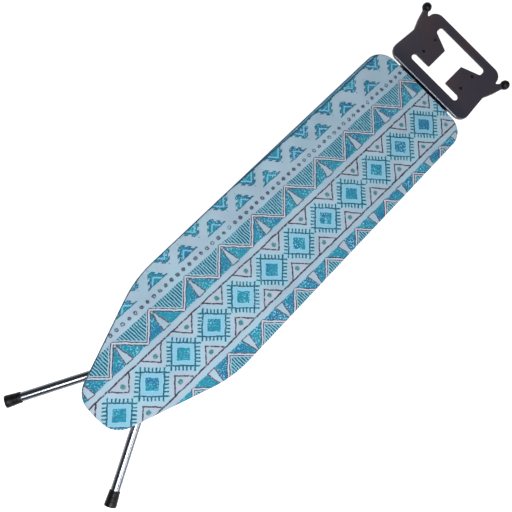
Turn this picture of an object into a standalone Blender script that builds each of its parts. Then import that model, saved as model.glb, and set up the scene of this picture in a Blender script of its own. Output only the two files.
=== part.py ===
"""Folding ironing board with scissor legs and an iron rest, folded flat.

Metres, +Z up. +X runs along the board towards its rounded nose, +Y is the left
side when looking that way. The origin is under the middle of the whole object,
on the surface that the folded board lies on.

The outer leg hangs on two bolts near the nose and its feet lie under the tail.
The inner leg crosses it on the centre axle, slides on a bar in two slotted
rails, and its feet reach out past the nose. Both halves above the centre axle
are equally long, so the bar keeps its distance from the deck at every height.
"""

import math

import bmesh
import bpy
from mathutils import Matrix, Vector

# Deck, pad and cover
HALF_WIDTH = 0.165
TAIL_X = -0.5564
SHOULDER_X = 0.3671
NOSE_X = 0.6480
NOSE_HALF_WIDTH = 0.0609
TAIL_RADIUS = 0.055
SHOULDER_RADIUS = 0.30
NOSE_RADIUS = 0.055
NOSE_BULGE = 0.004
COVER_TOP = 0.0560
COVER_THICKNESS = 0.0018
COVER_HEM_Z = 0.0340
HEM_CORD_RADIUS = 0.0018
HEM_CORD_INSET = 0.0080
PAD_TOP = 0.0538
DECK_TOP = 0.0482
DECK_UNDER = 0.0470
DECK_INSET = 0.0024
RIM_WIDTH = 0.0100
RIM_UNDER = 0.0350
GAP = 0.0003

# Legs
TUBE_RADIUS = 0.0110
TUBE_WALL = 0.0012
CAP_RADIUS = 0.0145
CAP_LENGTH = 0.036
CAP_FLOOR = 0.005
PIVOT_Z = CAP_RADIUS
HINGE_X = 0.507
ARM = 0.396
CENTRE_X = HINGE_X - ARM
SLIDE_X = HINGE_X - 2 * ARM
TUBE_STUB = 0.016
OUTER_Y = 0.075
OUTER_BEND_X = -0.365
INNER_Y = 0.033
INNER_FOOT_X = 0.7628
INNER_FOOT_Y = 0.1667
OUTER_FOOT_X = HINGE_X - (INNER_FOOT_X - SLIDE_X)
OUTER_FOOT_Y = 0.130
FLARE_MEETS_AXIS_X = 0.4459
BEND_RADIUS = 0.060
OUTER_SPREADER_X = -0.345
INNER_SPREADER_X = (-0.040, 0.400)
SPREADER_RADIUS = 0.008
AXLE_RADIUS = 0.004
BOLT_RADIUS = 0.003

# Hinge brackets, rails and rack under the deck
SHEET = 0.002
FRAME_TOP = DECK_UNDER - GAP
BRACKET_HALF_LENGTH = 0.0155
BRACKET_HALF_GAP = 0.0125
RAIL_Y = 0.0510
RAIL_FLANGE_Y = 0.0700
RAIL_ENDS = (-0.312, 0.042)
SLOT_HALF_HEIGHT = 0.0061
SHOE_HALF = (0.0100, 0.0056)
SHOE_COLLAR_HALF = (0.0120, 0.0085)
RACK_HALF_WIDTH = 0.0185
RACK_ENDS = (-0.345, 0.012)
RACK_UNDER = 0.0300
PIN_RADIUS = 0.0025
PIN_REACH = 0.030
PIN_RISE = RACK_UNDER - GAP - PIN_RADIUS - PIVOT_Z
LOCKED_ANGLES = (0, 35, 39, 43, 47, 51)
BRACE_HALF_WIDTH = 0.012
BRACE_THICKNESS = 0.0012
TAIL_BRACE_X = -0.490
TAIL_BRACE_UNDER = 0.0280

# Catch on the slide bar
CATCH_HALF_WIDTH = 0.0130
LEVER_RISE = 0.0090
LEVER_REACH = 0.095
LEVER_HALF_WIDTH = 0.0080
LEVER_HALF_HEIGHT = 0.0010
GRIP_LENGTH = 0.036

# Iron rest
PLATE_TOP = 0.0560
PLATE_THICKNESS = 0.0015
PLATE_RIM = 0.0090
PLATE_NEAR_X = -0.5644
PLATE_FAR_X = -0.7694
TONGUE_HALF_WIDTH = 0.092
TONGUE_END_X = -0.478
REST_PAD_X = (-0.641, -0.694)
REST_PAD_Y = 0.073
REST_SCREW_Y = 0.050
BALL_RADIUS = 0.0135
BALL_X = -0.7560
BALL_Y = 0.1565

SIDES = {"left": 1, "right": -1}

# Colour, metallic, roughness
FINISHES = {
    "printed_cotton": ((0.33, 0.56, 0.66), 0.0, 0.9),
    "felt": ((0.72, 0.70, 0.66), 0.0, 0.95),
    "elastic": ((0.80, 0.80, 0.78), 0.0, 0.8),
    "grey_enamel": ((0.42, 0.43, 0.45), 0.3, 0.45),
    "dark_powder_coat": ((0.045, 0.040, 0.045), 0.2, 0.42),
    "chrome_tube": ((0.78, 0.79, 0.80), 1.0, 0.12),
    "zinc_steel": ((0.60, 0.60, 0.58), 1.0, 0.35),
    "black_rubber": ((0.016, 0.016, 0.018), 0.0, 0.6),
    "black_plastic": ((0.025, 0.025, 0.028), 0.0, 0.4),
}


def clear_scene():
    for obj in list(bpy.data.objects):
        bpy.data.objects.remove(obj, do_unlink=True)
    for name in ("ironing_board", "cutters"):
        collection = bpy.data.collections.new(name)
        bpy.context.scene.collection.children.link(collection)


def make_finishes():
    for name, (colour, metallic, roughness) in FINISHES.items():
        material = bpy.data.materials.new(name)
        material.use_nodes = True
        shader = material.node_tree.nodes["Principled BSDF"]
        shader.inputs["Base Color"].default_value = (*colour, 1.0)
        shader.inputs["Metallic"].default_value = metallic
        shader.inputs["Roughness"].default_value = roughness


def joint_axis(name, x, z):
    """An empty on a joint's axis, which the pieces that move with the joint hang on."""
    empty = bpy.data.objects.new(name, None)
    empty.location = (x, 0, z)
    bpy.data.collections["ironing_board"].objects.link(empty)
    return empty


def place(obj, finish, parent=None):
    obj.data.materials.append(bpy.data.materials[finish])
    bpy.data.collections["ironing_board"].objects.link(obj)
    if parent:
        obj.parent = parent
        obj.matrix_parent_inverse = Matrix.Translation(-parent.location)
    return obj


def cutter(obj):
    obj.hide_render = True
    obj.display_type = "WIRE"
    bpy.data.collections["cutters"].objects.link(obj)
    return obj


def combine(obj, tool, operation="DIFFERENCE"):
    boolean = obj.modifiers.new(tool.name, "BOOLEAN")
    boolean.operation = operation
    boolean.solver = "EXACT"
    boolean.object = tool


def bmesh_object(name, bm):
    mesh = bpy.data.meshes.new(name)
    bm.to_mesh(mesh)
    bm.free()
    return bpy.data.objects.new(name, mesh)


def smooth(mesh):
    mesh.shade_smooth()
    mesh.set_sharp_from_angle(angle=math.radians(40))


def box(name, low, high):
    low, high = Vector(low), Vector(high)
    bm = bmesh.new()
    bmesh.ops.create_cube(bm, size=1.0)
    bmesh.ops.scale(bm, vec=high - low, verts=bm.verts)
    obj = bmesh_object(name, bm)
    obj.location = (low + high) / 2
    return obj


def rod(name, centre, direction, radius, length, segments=16):
    """A cylinder with its middle at centre, along direction."""
    bm = bmesh.new()
    bmesh.ops.create_cone(
        bm, cap_ends=True, segments=segments, radius1=radius, radius2=radius, depth=length
    )
    obj = bmesh_object(name, bm)
    smooth(obj.data)
    obj.location = centre
    obj.rotation_euler = Vector((0, 0, 1)).rotation_difference(Vector(direction)).to_euler()
    return obj


def turned(name, profile, centre, direction, steps=20):
    """A profile of (radius, height) turned round direction. Off the axis it is a closed ring."""
    bm = bmesh.new()
    points = [bm.verts.new((radius, 0, height)) for radius, height in profile]
    for start, end in zip(points, points[1:]):
        bm.edges.new((start, end))
    if profile[0][0] > 0:
        bm.edges.new((points[-1], points[0]))
    obj = bmesh_object(name, bm)
    screw = obj.modifiers.new("turn", "SCREW")
    screw.steps = steps
    screw.render_steps = steps
    screw.use_merge_vertices = True
    screw.merge_threshold = 0.00001
    obj.location = centre
    obj.rotation_euler = Vector((0, 0, 1)).rotation_difference(Vector(direction)).to_euler()
    return obj


def drill(obj, centre, direction, radius, length):
    hole = cutter(rod("bore_" + obj.name, centre, direction, radius, length))
    combine(obj, hole)


def rounded(corners, inset=0.0, closed=True, step=math.radians(12)):
    """Points of a path of (x, y, radius) corners, each turned by an arc and moved left by inset."""
    count = len(corners)
    path = []
    for index, (x, y, radius) in enumerate(corners):
        here = Vector((x, y))
        if not closed and index in (0, count - 1):
            path.append(here)
            continue
        before = (here - Vector(corners[index - 1][:2])).normalized()
        after = (Vector(corners[(index + 1) % count][:2]) - here).normalized()
        turn = math.atan2(before.cross(after), before.dot(after))
        left = Vector((-before.y, before.x)) + Vector((-after.y, after.x))
        here = here + left * inset / (1 + before.dot(after))
        radius = max(radius - math.copysign(inset, turn), 0.0)
        reach = radius * math.tan(abs(turn) / 2)
        if reach == 0:
            path.append(here)
            continue
        side = math.copysign(1, turn)
        start = here - before * reach
        centre = start + Vector((-before.y, before.x)) * radius * side
        arm = start - centre
        steps = max(2, math.ceil(abs(turn) / step))
        for count_along in range(steps + 1):
            angle = turn * count_along / steps
            path.append(centre + Matrix.Rotation(angle, 2) @ arm)
    return [(point.x, point.y) for point in path]


def mirrored(half):
    """Both halves of an outline from its +Y half, which is listed towards -X."""
    other = [(x, -y, radius) for x, y, radius in reversed(half) if y > 0]
    return half + other


def circle(x, y, radius, points=16):
    angles = [2 * math.pi * index / points for index in range(points)]
    return [(x + radius * math.cos(angle), y + radius * math.sin(angle)) for angle in angles]


def flat_curve(name, loops, thickness):
    """A filled flat outline of this thickness. Loops inside the first one are holes."""
    curve = bpy.data.curves.new(name, "CURVE")
    curve.dimensions = "2D"
    curve.fill_mode = "BOTH"
    curve.extrude = thickness / 2
    for loop in loops:
        spline = curve.splines.new("POLY")
        spline.points.add(len(loop) - 1)
        spline.use_cyclic_u = True
        for point, (x, y) in zip(spline.points, loop):
            point.co = (x, y, 0, 1)
    return bpy.data.objects.new(name, curve)


def as_mesh(obj):
    """The curve object as a welded mesh object in the same place."""
    collection = bpy.context.scene.collection
    collection.objects.link(obj)
    bpy.context.view_layer.update()
    graph = bpy.context.evaluated_depsgraph_get()
    mesh = bpy.data.meshes.new_from_object(obj.evaluated_get(graph))
    bm = bmesh.new()
    bm.from_mesh(mesh)
    bmesh.ops.remove_doubles(bm, verts=bm.verts, dist=0.00001)
    bm.to_mesh(mesh)
    bm.free()
    name = obj.name
    matrix = obj.matrix_world.copy()
    bpy.data.objects.remove(obj)
    made = bpy.data.objects.new(name, mesh)
    made.matrix_world = matrix
    return made


def side_plate(name, loops, x, z, half_width):
    """An outline in X and Z from the point (x, z), as thick as two half widths across Y."""
    plate = flat_curve(name, loops, 2 * half_width)
    plate.location = (x, 0, z)
    plate.rotation_euler = (math.radians(90), 0, 0)
    return as_mesh(plate)


def solidify(obj, thickness):
    shell = obj.modifiers.new("wall", "SOLIDIFY")
    shell.thickness = thickness
    shell.offset = -1
    shell.use_even_offset = True


def pipe(name, path, radius, wall):
    """An open-ended tube whose centre line is path, a list of points."""
    curve = bpy.data.curves.new(name, "CURVE")
    curve.dimensions = "3D"
    curve.bevel_depth = radius
    curve.bevel_resolution = 6
    spline = curve.splines.new("POLY")
    spline.points.add(len(path) - 1)
    for point, place_at in zip(spline.points, path):
        point.co = (*place_at, 1)
    obj = as_mesh(bpy.data.objects.new(name, curve))
    smooth(obj.data)
    solidify(obj, wall)
    return obj


def board_outline(inset):
    half = [
        (NOSE_X, 0.0, SHOULDER_RADIUS),
        (NOSE_X - NOSE_BULGE, NOSE_HALF_WIDTH, NOSE_RADIUS),
        (SHOULDER_X, HALF_WIDTH, SHOULDER_RADIUS),
        (TAIL_X, HALF_WIDTH, TAIL_RADIUS),
    ]
    return rounded(mirrored(half), inset)


def deck_slab(name, low, high, inset, finish):
    slab = flat_curve(name, [board_outline(inset)], high - low)
    slab.location = (0, 0, (low + high) / 2)
    return place(slab, finish)


def make_cover():
    outline = board_outline(0)
    bm = bmesh.new()
    top = bm.faces.new([bm.verts.new((x, y, COVER_TOP)) for x, y in outline])
    skirt = bmesh.ops.extrude_edge_only(bm, edges=list(top.edges))["geom"]
    hem = [item for item in skirt if isinstance(item, bmesh.types.BMVert)]
    bmesh.ops.translate(bm, vec=(0, 0, COVER_HEM_Z - COVER_TOP), verts=hem)
    bmesh.ops.recalc_face_normals(bm, faces=bm.faces)
    if top.normal.z < 0:
        bmesh.ops.reverse_faces(bm, faces=bm.faces)
    cover = bmesh_object("cover", bm)
    solidify(cover, COVER_THICKNESS)
    place(cover, "printed_cotton")


def make_hem_elastic():
    curve = bpy.data.curves.new("hem_elastic", "CURVE")
    curve.dimensions = "3D"
    curve.bevel_depth = HEM_CORD_RADIUS
    curve.bevel_resolution = 2
    spline = curve.splines.new("POLY")
    loop = board_outline(HEM_CORD_INSET)
    spline.points.add(len(loop) - 1)
    spline.use_cyclic_u = True
    for point, (x, y) in zip(spline.points, loop):
        point.co = (x, y, COVER_HEM_Z - HEM_CORD_RADIUS - GAP, 1)
    place(bpy.data.objects.new("hem_elastic", curve), "elastic")


def make_rim():
    depth = FRAME_TOP - RIM_UNDER
    loops = [board_outline(DECK_INSET), board_outline(DECK_INSET + RIM_WIDTH)]
    rim = flat_curve("rim_frame", loops, depth)
    rim.location = (0, 0, RIM_UNDER + depth / 2)
    place(rim, "grey_enamel")


def make_brace(name, x, under, half_length):
    """A channel across the board, open towards the deck."""
    low = (x - BRACE_HALF_WIDTH, -half_length, under)
    high = (x + BRACE_HALF_WIDTH, half_length, FRAME_TOP)
    brace = place(box(name, low, high), "grey_enamel")
    inner_low = (low[0] + BRACE_THICKNESS, -half_length - SHEET, under + BRACE_THICKNESS)
    inner_high = (high[0] - BRACE_THICKNESS, half_length + SHEET, FRAME_TOP + SHEET)
    combine(brace, cutter(box("inside_" + name, inner_low, inner_high)))
    return brace


def make_hinge(side, sign):
    """The bracket that the outer leg hangs in, with its bolt and nut."""
    y = sign * OUTER_Y
    outer_half = BRACKET_HALF_GAP + SHEET
    low = (HINGE_X - BRACKET_HALF_LENGTH, y - outer_half, PIVOT_Z - 0.009)
    high = (HINGE_X + BRACKET_HALF_LENGTH, y + outer_half, FRAME_TOP)
    bracket = place(box("hinge_bracket_" + side, low, high), "zinc_steel")
    inner_low = (low[0] - SHEET, y - BRACKET_HALF_GAP, low[2] - SHEET)
    inner_high = (high[0] + SHEET, y + BRACKET_HALF_GAP, FRAME_TOP - SHEET)
    combine(bracket, cutter(box("inside_bracket_" + side, inner_low, inner_high)))
    centre = (HINGE_X, y, PIVOT_Z)
    drill(bracket, centre, (0, 1, 0), BOLT_RADIUS + GAP, 4 * outer_half)

    head_face = outer_half + GAP
    bolt_end = -outer_half - 0.006
    bolt_profile = [
        (0, head_face + 0.004),
        (0.0055, head_face + 0.004),
        (0.0055, head_face),
        (BOLT_RADIUS, head_face),
        (BOLT_RADIUS, bolt_end),
        (0, bolt_end),
    ]
    bolt = turned("hinge_bolt_" + side, bolt_profile, centre, (0, sign, 0), 16)
    place(bolt, "zinc_steel")
    nut_loops = [circle(0, 0, 0.0060, 6), circle(0, 0, BOLT_RADIUS + GAP)]
    nut = flat_curve("hinge_nut_" + side, nut_loops, 0.004)
    nut.location = (HINGE_X, y - sign * (outer_half + GAP + 0.002), PIVOT_Z)
    nut.rotation_euler = (math.radians(90), 0, 0)
    place(nut, "zinc_steel")


def make_rail(side, sign):
    """An angle section with the long slot that a slide shoe runs in."""
    y_low, y_high = sorted((sign * RAIL_Y, sign * (RAIL_Y + SHEET)))
    low = (RAIL_ENDS[0], y_low, PIVOT_Z - 0.0095)
    high = (RAIL_ENDS[1], y_high, FRAME_TOP)
    rail = place(box("guide_rail_" + side, low, high), "zinc_steel")
    y_low, y_high = sorted((sign * (RAIL_Y + SHEET / 2), sign * RAIL_FLANGE_Y))
    flange_low = (RAIL_ENDS[0], y_low, FRAME_TOP - SHEET)
    flange_high = (RAIL_ENDS[1], y_high, FRAME_TOP)
    combine(rail, cutter(box("flange_" + side, flange_low, flange_high)), "UNION")
    open_x = HINGE_X - 2 * ARM * math.cos(math.radians(max(LOCKED_ANGLES)))
    end = SHOE_HALF[0] + 0.001
    corner = 0.002
    slot = [
        (open_x + end, -SLOT_HALF_HEIGHT, corner),
        (open_x + end, SLOT_HALF_HEIGHT, corner),
        (SLIDE_X - end, SLOT_HALF_HEIGHT, corner),
        (SLIDE_X - end, -SLOT_HALF_HEIGHT, corner),
    ]
    combine(rail, cutter(side_plate("slot_" + side, [rounded(slot)], 0, PIVOT_Z, 0.08)))


def make_rack():
    """The notched channel that the catch pin springs into."""
    low = (RACK_ENDS[0], -RACK_HALF_WIDTH, RACK_UNDER)
    high = (RACK_ENDS[1], RACK_HALF_WIDTH, FRAME_TOP)
    rack = place(box("height_rack", low, high), "zinc_steel")
    inner_half = RACK_HALF_WIDTH - SHEET
    inner_low = (low[0] - SHEET, -inner_half, low[2] - SHEET)
    inner_high = (high[0] + SHEET, inner_half, FRAME_TOP - SHEET)
    combine(rack, cutter(box("inside_rack", inner_low, inner_high)))
    half = PIN_RADIUS + 0.0007
    notch = [
        (-0.0041 - half, -0.0080, 0),
        (-0.0041 + half, -0.0080, 0),
        (0.0036 + half, 0.0071, half / 2),
        (0.0036 - half, 0.0071, half / 2),
    ]
    for angle in LOCKED_ANGLES:
        bar_x = HINGE_X - 2 * ARM * math.cos(math.radians(angle))
        name = "notch_%d" % angle
        pin_at = (bar_x - PIN_REACH, PIVOT_Z + PIN_RISE)
        combine(rack, cutter(side_plate(name, [rounded(notch)], *pin_at, 0.03)))


def foot_cap(name, end, direction, parent):
    """A moulded cap over the end of a tube, wider at the floor than at its mouth."""
    profile = [
        (0, CAP_FLOOR),
        (TUBE_RADIUS + GAP, CAP_FLOOR),
        (TUBE_RADIUS + GAP, CAP_LENGTH),
        (TUBE_RADIUS + 0.0014, CAP_LENGTH),
        (TUBE_RADIUS + 0.0018, CAP_LENGTH - 0.002),
        (CAP_RADIUS - 0.0008, 0.012),
        (CAP_RADIUS, 0.006),
        (CAP_RADIUS, 0.002),
        (CAP_RADIUS - 0.002, 0),
        (0, 0),
    ]
    back = [-part for part in direction]
    place(turned(name, profile, end, back, 24), "black_rubber", parent)


def flat_path(points, z):
    return [(x, y, z) for x, y in points]


def along(start, end, distance):
    """The point this far from end, on the way back to start."""
    start, end = Vector(start), Vector(end)
    return end + (start - end).normalized() * distance


def leg_tube(name, corners, sign, drills, parent, cap_name):
    """A bent leg tube with its cross bores, and the cap on its foot."""
    bend, foot = corners[-2][:2], corners[-1][:2]
    tube_end = along(bend, foot, CAP_FLOOR + GAP)
    corners = corners[:-1] + [(*tube_end, 0)]
    centre_line = [(x, sign * y) for x, y in rounded(corners, closed=False, step=math.radians(7))]
    tube = place(
        pipe(name, flat_path(centre_line, PIVOT_Z), TUBE_RADIUS, TUBE_WALL), "chrome_tube", parent
    )
    for x, radius in drills:
        drill(tube, (x, sign * corners[0][1], PIVOT_Z), (0, 1, 0), radius + GAP, 0.05)
    direction = (Vector(foot) - Vector(bend)).normalized()
    end = (foot[0], sign * foot[1], PIVOT_Z)
    foot_cap(cap_name, end, (direction.x, sign * direction.y, 0), parent)


def end_plug(name, x, y, direction, parent):
    """A plastic plug in the open top end of a tube."""
    inner = TUBE_RADIUS - TUBE_WALL - GAP
    profile = [
        (0, 0.002),
        (TUBE_RADIUS - 0.001, 0.002),
        (TUBE_RADIUS, 0.001),
        (TUBE_RADIUS, GAP),
        (inner, GAP),
        (inner, -0.008),
        (0, -0.008),
    ]
    place(turned(name, profile, (x, y, PIVOT_Z), (direction, 0, 0), 16), "black_plastic", parent)


def spreader(name, x, inner_y, parent):
    """A bar welded between the two tubes of a leg."""
    length = 2 * (inner_y - TUBE_RADIUS - GAP)
    bar = rod(name, (x, 0, PIVOT_Z), (0, 1, 0), SPREADER_RADIUS, length)
    place(bar, "chrome_tube", parent)


def make_outer_leg(parent):
    corners = [
        (HINGE_X + TUBE_STUB, OUTER_Y, 0),
        (OUTER_BEND_X, OUTER_Y, BEND_RADIUS),
        (OUTER_FOOT_X, OUTER_FOOT_Y, 0),
    ]
    drills = [(HINGE_X, BOLT_RADIUS), (CENTRE_X, AXLE_RADIUS)]
    for side, sign in SIDES.items():
        leg_tube(
            "outer_leg_tube_" + side, corners, sign, drills, parent, "outer_foot_cap_" + side
        )
        end_plug("outer_leg_plug_" + side, HINGE_X + TUBE_STUB, sign * OUTER_Y, 1, parent)
        make_axle_fittings(side, sign, parent)
    spreader("outer_leg_spreader", OUTER_SPREADER_X, OUTER_Y, parent)
    length = 2 * (OUTER_Y + TUBE_RADIUS + 0.006)
    axle = rod("centre_axle", (CENTRE_X, 0, PIVOT_Z), (0, 1, 0), AXLE_RADIUS, length)
    place(axle, "zinc_steel", parent)


def make_axle_fittings(side, sign, parent):
    """The spacer between the two legs on one side, and the nut on the axle's end."""
    bore = AXLE_RADIUS + GAP
    near = INNER_Y + TUBE_RADIUS + GAP
    far = OUTER_Y - TUBE_RADIUS - GAP
    spacer = [(bore, far), (0.009, far), (0.009, near), (bore, near)]
    centre = (CENTRE_X, 0, PIVOT_Z)
    place(turned("pivot_spacer_" + side, spacer, centre, (0, sign, 0)), "black_plastic", parent)
    low = OUTER_Y + TUBE_RADIUS + GAP
    high = low + 0.0065
    nut = [
        (0, high + 0.003),
        (0.004, high + 0.0022),
        (0.0065, high),
        (0.0065, low),
        (bore, low),
        (bore, high - 0.0005),
        (0, high - 0.0005),
    ]
    place(turned("axle_nut_" + side, nut, centre, (0, sign, 0), 12), "zinc_steel", parent)


def make_inner_leg(parent):
    slope = INNER_FOOT_Y / (INNER_FOOT_X - FLARE_MEETS_AXIS_X)
    corners = [
        (SLIDE_X - TUBE_STUB, INNER_Y, 0),
        (FLARE_MEETS_AXIS_X + INNER_Y / slope, INNER_Y, BEND_RADIUS),
        (INNER_FOOT_X, INNER_FOOT_Y, 0),
    ]
    drills = [(SLIDE_X, AXLE_RADIUS), (CENTRE_X, AXLE_RADIUS)]
    bar_end = SHOE_SPAN[1] + GAP + 0.0030
    for side, sign in SIDES.items():
        leg_tube(
            "inner_leg_tube_" + side, corners, sign, drills, parent, "inner_foot_cap_" + side
        )
        end_plug("inner_leg_plug_" + side, SLIDE_X - TUBE_STUB, sign * INNER_Y, -1, parent)
        low = SHOE_SPAN[1] + GAP
        bore = AXLE_RADIUS + GAP
        washer = [(bore, low + 0.0015), (0.0075, low + 0.0015), (0.0075, low), (bore, low)]
        centre = (SLIDE_X, 0, PIVOT_Z)
        ring = turned("slide_bar_clip_" + side, washer, centre, (0, sign, 0), 12)
        place(ring, "zinc_steel", parent)
    for position, x in zip(("upper", "lower"), INNER_SPREADER_X):
        spreader("inner_leg_spreader_" + position, x, INNER_Y, parent)
    bar = rod("slide_bar", (SLIDE_X, 0, PIVOT_Z), (0, 1, 0), AXLE_RADIUS, 2 * bar_end)
    place(bar, "zinc_steel", parent)


# The stretch of the slide bar that each shoe covers, from the inner leg outwards
SHOE_SPAN = (INNER_Y + TUBE_RADIUS + GAP, RAIL_Y + SHEET + 0.0040)


def make_shoe(side, sign, parent):
    """A nylon shoe in the rail's slot, with a collar on the rail's inner face."""
    half_x, half_z = SHOE_HALF
    y_low, y_high = sorted((sign * SHOE_SPAN[0], sign * SHOE_SPAN[1]))
    low = (SLIDE_X - half_x, y_low, PIVOT_Z - half_z)
    high = (SLIDE_X + half_x, y_high, PIVOT_Z + half_z)
    shoe = place(box("slide_shoe_" + side, low, high), "black_plastic", parent)
    half_x, half_z = SHOE_COLLAR_HALF
    inner = SHOE_SPAN[0] + 0.0002
    y_low, y_high = sorted((sign * inner, sign * (RAIL_Y - GAP)))
    low = (SLIDE_X - half_x, y_low, PIVOT_Z - half_z)
    high = (SLIDE_X + half_x, y_high, PIVOT_Z + half_z)
    combine(shoe, cutter(box("collar_" + side, low, high)), "UNION")
    middle = (SLIDE_X, sign * sum(SHOE_SPAN) / 2, PIVOT_Z)
    drill(shoe, middle, (0, 1, 0), AXLE_RADIUS + GAP, 0.05)


def make_catch(parent):
    """The block that turns on the slide bar, its pin, and the lever that lowers the pin."""
    outline = [
        (0.0130, -0.0095, 0.005),
        (0.0130, 0.0140, 0.004),
        (-0.0230, 0.0190, 0.005),
        (-0.0360, 0.0165, 0.005),
        (-0.0360, 0.0080, 0.005),
        (-0.0110, -0.0095, 0.007),
    ]
    holes = [
        circle(0, 0, AXLE_RADIUS + GAP),
        circle(-PIN_REACH, PIN_RISE, PIN_RADIUS + GAP),
    ]
    loops = [rounded(outline)] + holes
    block = side_plate("catch_block", loops, SLIDE_X, PIVOT_Z, CATCH_HALF_WIDTH)
    place(block, "black_plastic", parent)
    lever_z = PIVOT_Z + LEVER_RISE
    slit_half = (LEVER_HALF_WIDTH + GAP, LEVER_HALF_HEIGHT + GAP)
    slit_low = (SLIDE_X - 0.0080, -slit_half[0], lever_z - slit_half[1])
    slit_high = (SLIDE_X + 0.0200, slit_half[0], lever_z + slit_half[1])
    combine(block, cutter(box("lever_slit", slit_low, slit_high)))

    pin_centre = (SLIDE_X - PIN_REACH, 0, PIVOT_Z + PIN_RISE)
    pin = rod("catch_pin", pin_centre, (0, 1, 0), PIN_RADIUS, 2 * (RACK_HALF_WIDTH + 0.002))
    place(pin, "zinc_steel", parent)

    lever_end = SLIDE_X + LEVER_REACH
    lever_low = (SLIDE_X - 0.0077, -LEVER_HALF_WIDTH, lever_z - LEVER_HALF_HEIGHT)
    lever_high = (lever_end, LEVER_HALF_WIDTH, lever_z + LEVER_HALF_HEIGHT)
    place(box("release_lever", lever_low, lever_high), "zinc_steel", parent)

    grip_low = (lever_end + 0.003 - GRIP_LENGTH, -0.0115, lever_z - 0.005)
    grip_high = (lever_end + 0.003, 0.0115, lever_z + 0.005)
    grip = place(box("lever_grip", grip_low, grip_high), "black_plastic", parent)
    soften = grip.modifiers.new("soften", "BEVEL")
    soften.width = 0.003
    soften.segments = 3
    pocket_low = (grip_low[0] - 0.005, -slit_half[0], lever_z - slit_half[1])
    pocket_high = (lever_end + GAP, slit_half[0], lever_z + slit_half[1])
    combine(grip, cutter(box("grip_pocket", pocket_low, pocket_high)))


def plate_outline():
    """The pressed plate's edge with its two horns, each ending inside a ball."""
    return mirrored(
        [
            (PLATE_NEAR_X, TONGUE_HALF_WIDTH, 0),
            (PLATE_NEAR_X, 0.1430, 0.030),
            (-0.6725, 0.1364, 0.015),
            (-0.7060, 0.1495, 0.040),
            (-0.7500, 0.1615, 0.003),
            (-0.7540, 0.1487, 0.003),
            (-0.7335, 0.1345, 0.0018),
            (PLATE_FAR_X, 0.1305, 0.029),
        ]
    )


def plate_opening():
    """The cut-out: a near slot, a far slot and the space between the two tabs."""
    return mirrored(
        [
            (-0.5984, 0.0870, 0.0094),
            (-0.6175, 0.0870, 0.0094),
            (-0.6175, 0.0315, 0.004),
            (-0.6930, 0.0315, 0.003),
            (-0.7178, 0.0865, 0.008),
            (-0.7395, 0.0865, 0.008),
        ]
    )


def edge_loop(bm, points, z):
    verts = [bm.verts.new((x, y, z)) for x, y in points]
    return [bm.edges.new((verts[index - 1], verts[index])) for index in range(len(verts))]


def moved_edge(bm, edges, offset):
    """Extrudes the edges by the offset, and returns the new ones."""
    made = bmesh.ops.extrude_edge_only(bm, edges=edges)["geom"]
    verts = [item for item in made if isinstance(item, bmesh.types.BMVert)]
    bmesh.ops.translate(bm, vec=offset, verts=verts)
    return [item for item in made if isinstance(item, bmesh.types.BMEdge)]


def make_rest_plate():
    """The iron rest: one pressed sheet with a turned-down rim and a tongue under the tail."""
    bm = bmesh.new()
    outer = edge_loop(bm, rounded(plate_outline()), PLATE_TOP)
    inner = edge_loop(bm, rounded(plate_opening()), PLATE_TOP)
    bmesh.ops.triangle_fill(bm, edges=outer + inner, use_beauty=True)
    rim = moved_edge(bm, outer, (0, 0, -PLATE_RIM))
    near = [
        edge
        for edge in rim
        if all(
            vert.co.x > PLATE_NEAR_X - 1e-5 and abs(vert.co.y) < TONGUE_HALF_WIDTH + 1e-5
            for vert in edge.verts
        )
    ]
    tongue_z = TAIL_BRACE_UNDER - GAP
    drop = moved_edge(bm, near, (0, 0, tongue_z - PLATE_TOP + PLATE_RIM))
    moved_edge(bm, drop, (TONGUE_END_X - PLATE_NEAR_X, 0, 0))
    bmesh.ops.recalc_face_normals(bm, faces=bm.faces)
    lid = max(bm.faces, key=lambda face: face.calc_center_median().z)
    if lid.normal.z < 0:
        bmesh.ops.reverse_faces(bm, faces=bm.faces)
    plate = place(bmesh_object("iron_rest_plate", bm), "dark_powder_coat")
    solidify(plate, PLATE_THICKNESS)
    for x in REST_PAD_X:
        for sign in SIDES.values():
            drill(plate, (x, sign * REST_PAD_Y, PLATE_TOP), (0, 0, 1), 0.0023, 0.006)
    for sign in SIDES.values():
        centre = (TAIL_BRACE_X, sign * REST_SCREW_Y, tongue_z)
        drill(plate, centre, (0, 0, 1), BOLT_RADIUS + GAP, 0.006)


def make_rest_fittings():
    for position, x in zip(("near", "far"), REST_PAD_X):
        for side, sign in SIDES.items():
            under = PLATE_TOP - PLATE_THICKNESS
            profile = [
                (0, PLATE_TOP + 0.0022),
                (0.0030, PLATE_TOP + 0.0019),
                (0.0045, PLATE_TOP + 0.0008),
                (0.0045, PLATE_TOP + GAP),
                (0.0020, PLATE_TOP + GAP),
                (0.0020, under - 0.0015),
                (0, under - 0.0015),
            ]
            name = "rest_pad_%s_%s" % (position, side)
            pad = turned(name, profile, (x, sign * REST_PAD_Y, 0), (0, 0, 1), 16)
            place(pad, "black_rubber")
    for side, sign in SIDES.items():
        head = TAIL_BRACE_UNDER - 2 * GAP - PLATE_THICKNESS
        profile = [
            (0, TAIL_BRACE_UNDER + 0.008),
            (BOLT_RADIUS, TAIL_BRACE_UNDER + 0.008),
            (BOLT_RADIUS, head),
            (0.0055, head),
            (0.0050, head - 0.0020),
            (0, head - 0.0026),
        ]
        centre = (TAIL_BRACE_X, sign * REST_SCREW_Y, 0)
        place(turned("rest_screw_" + side, profile, centre, (0, 0, 1), 16), "zinc_steel")
        make_horn_ball(side, sign)


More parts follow.
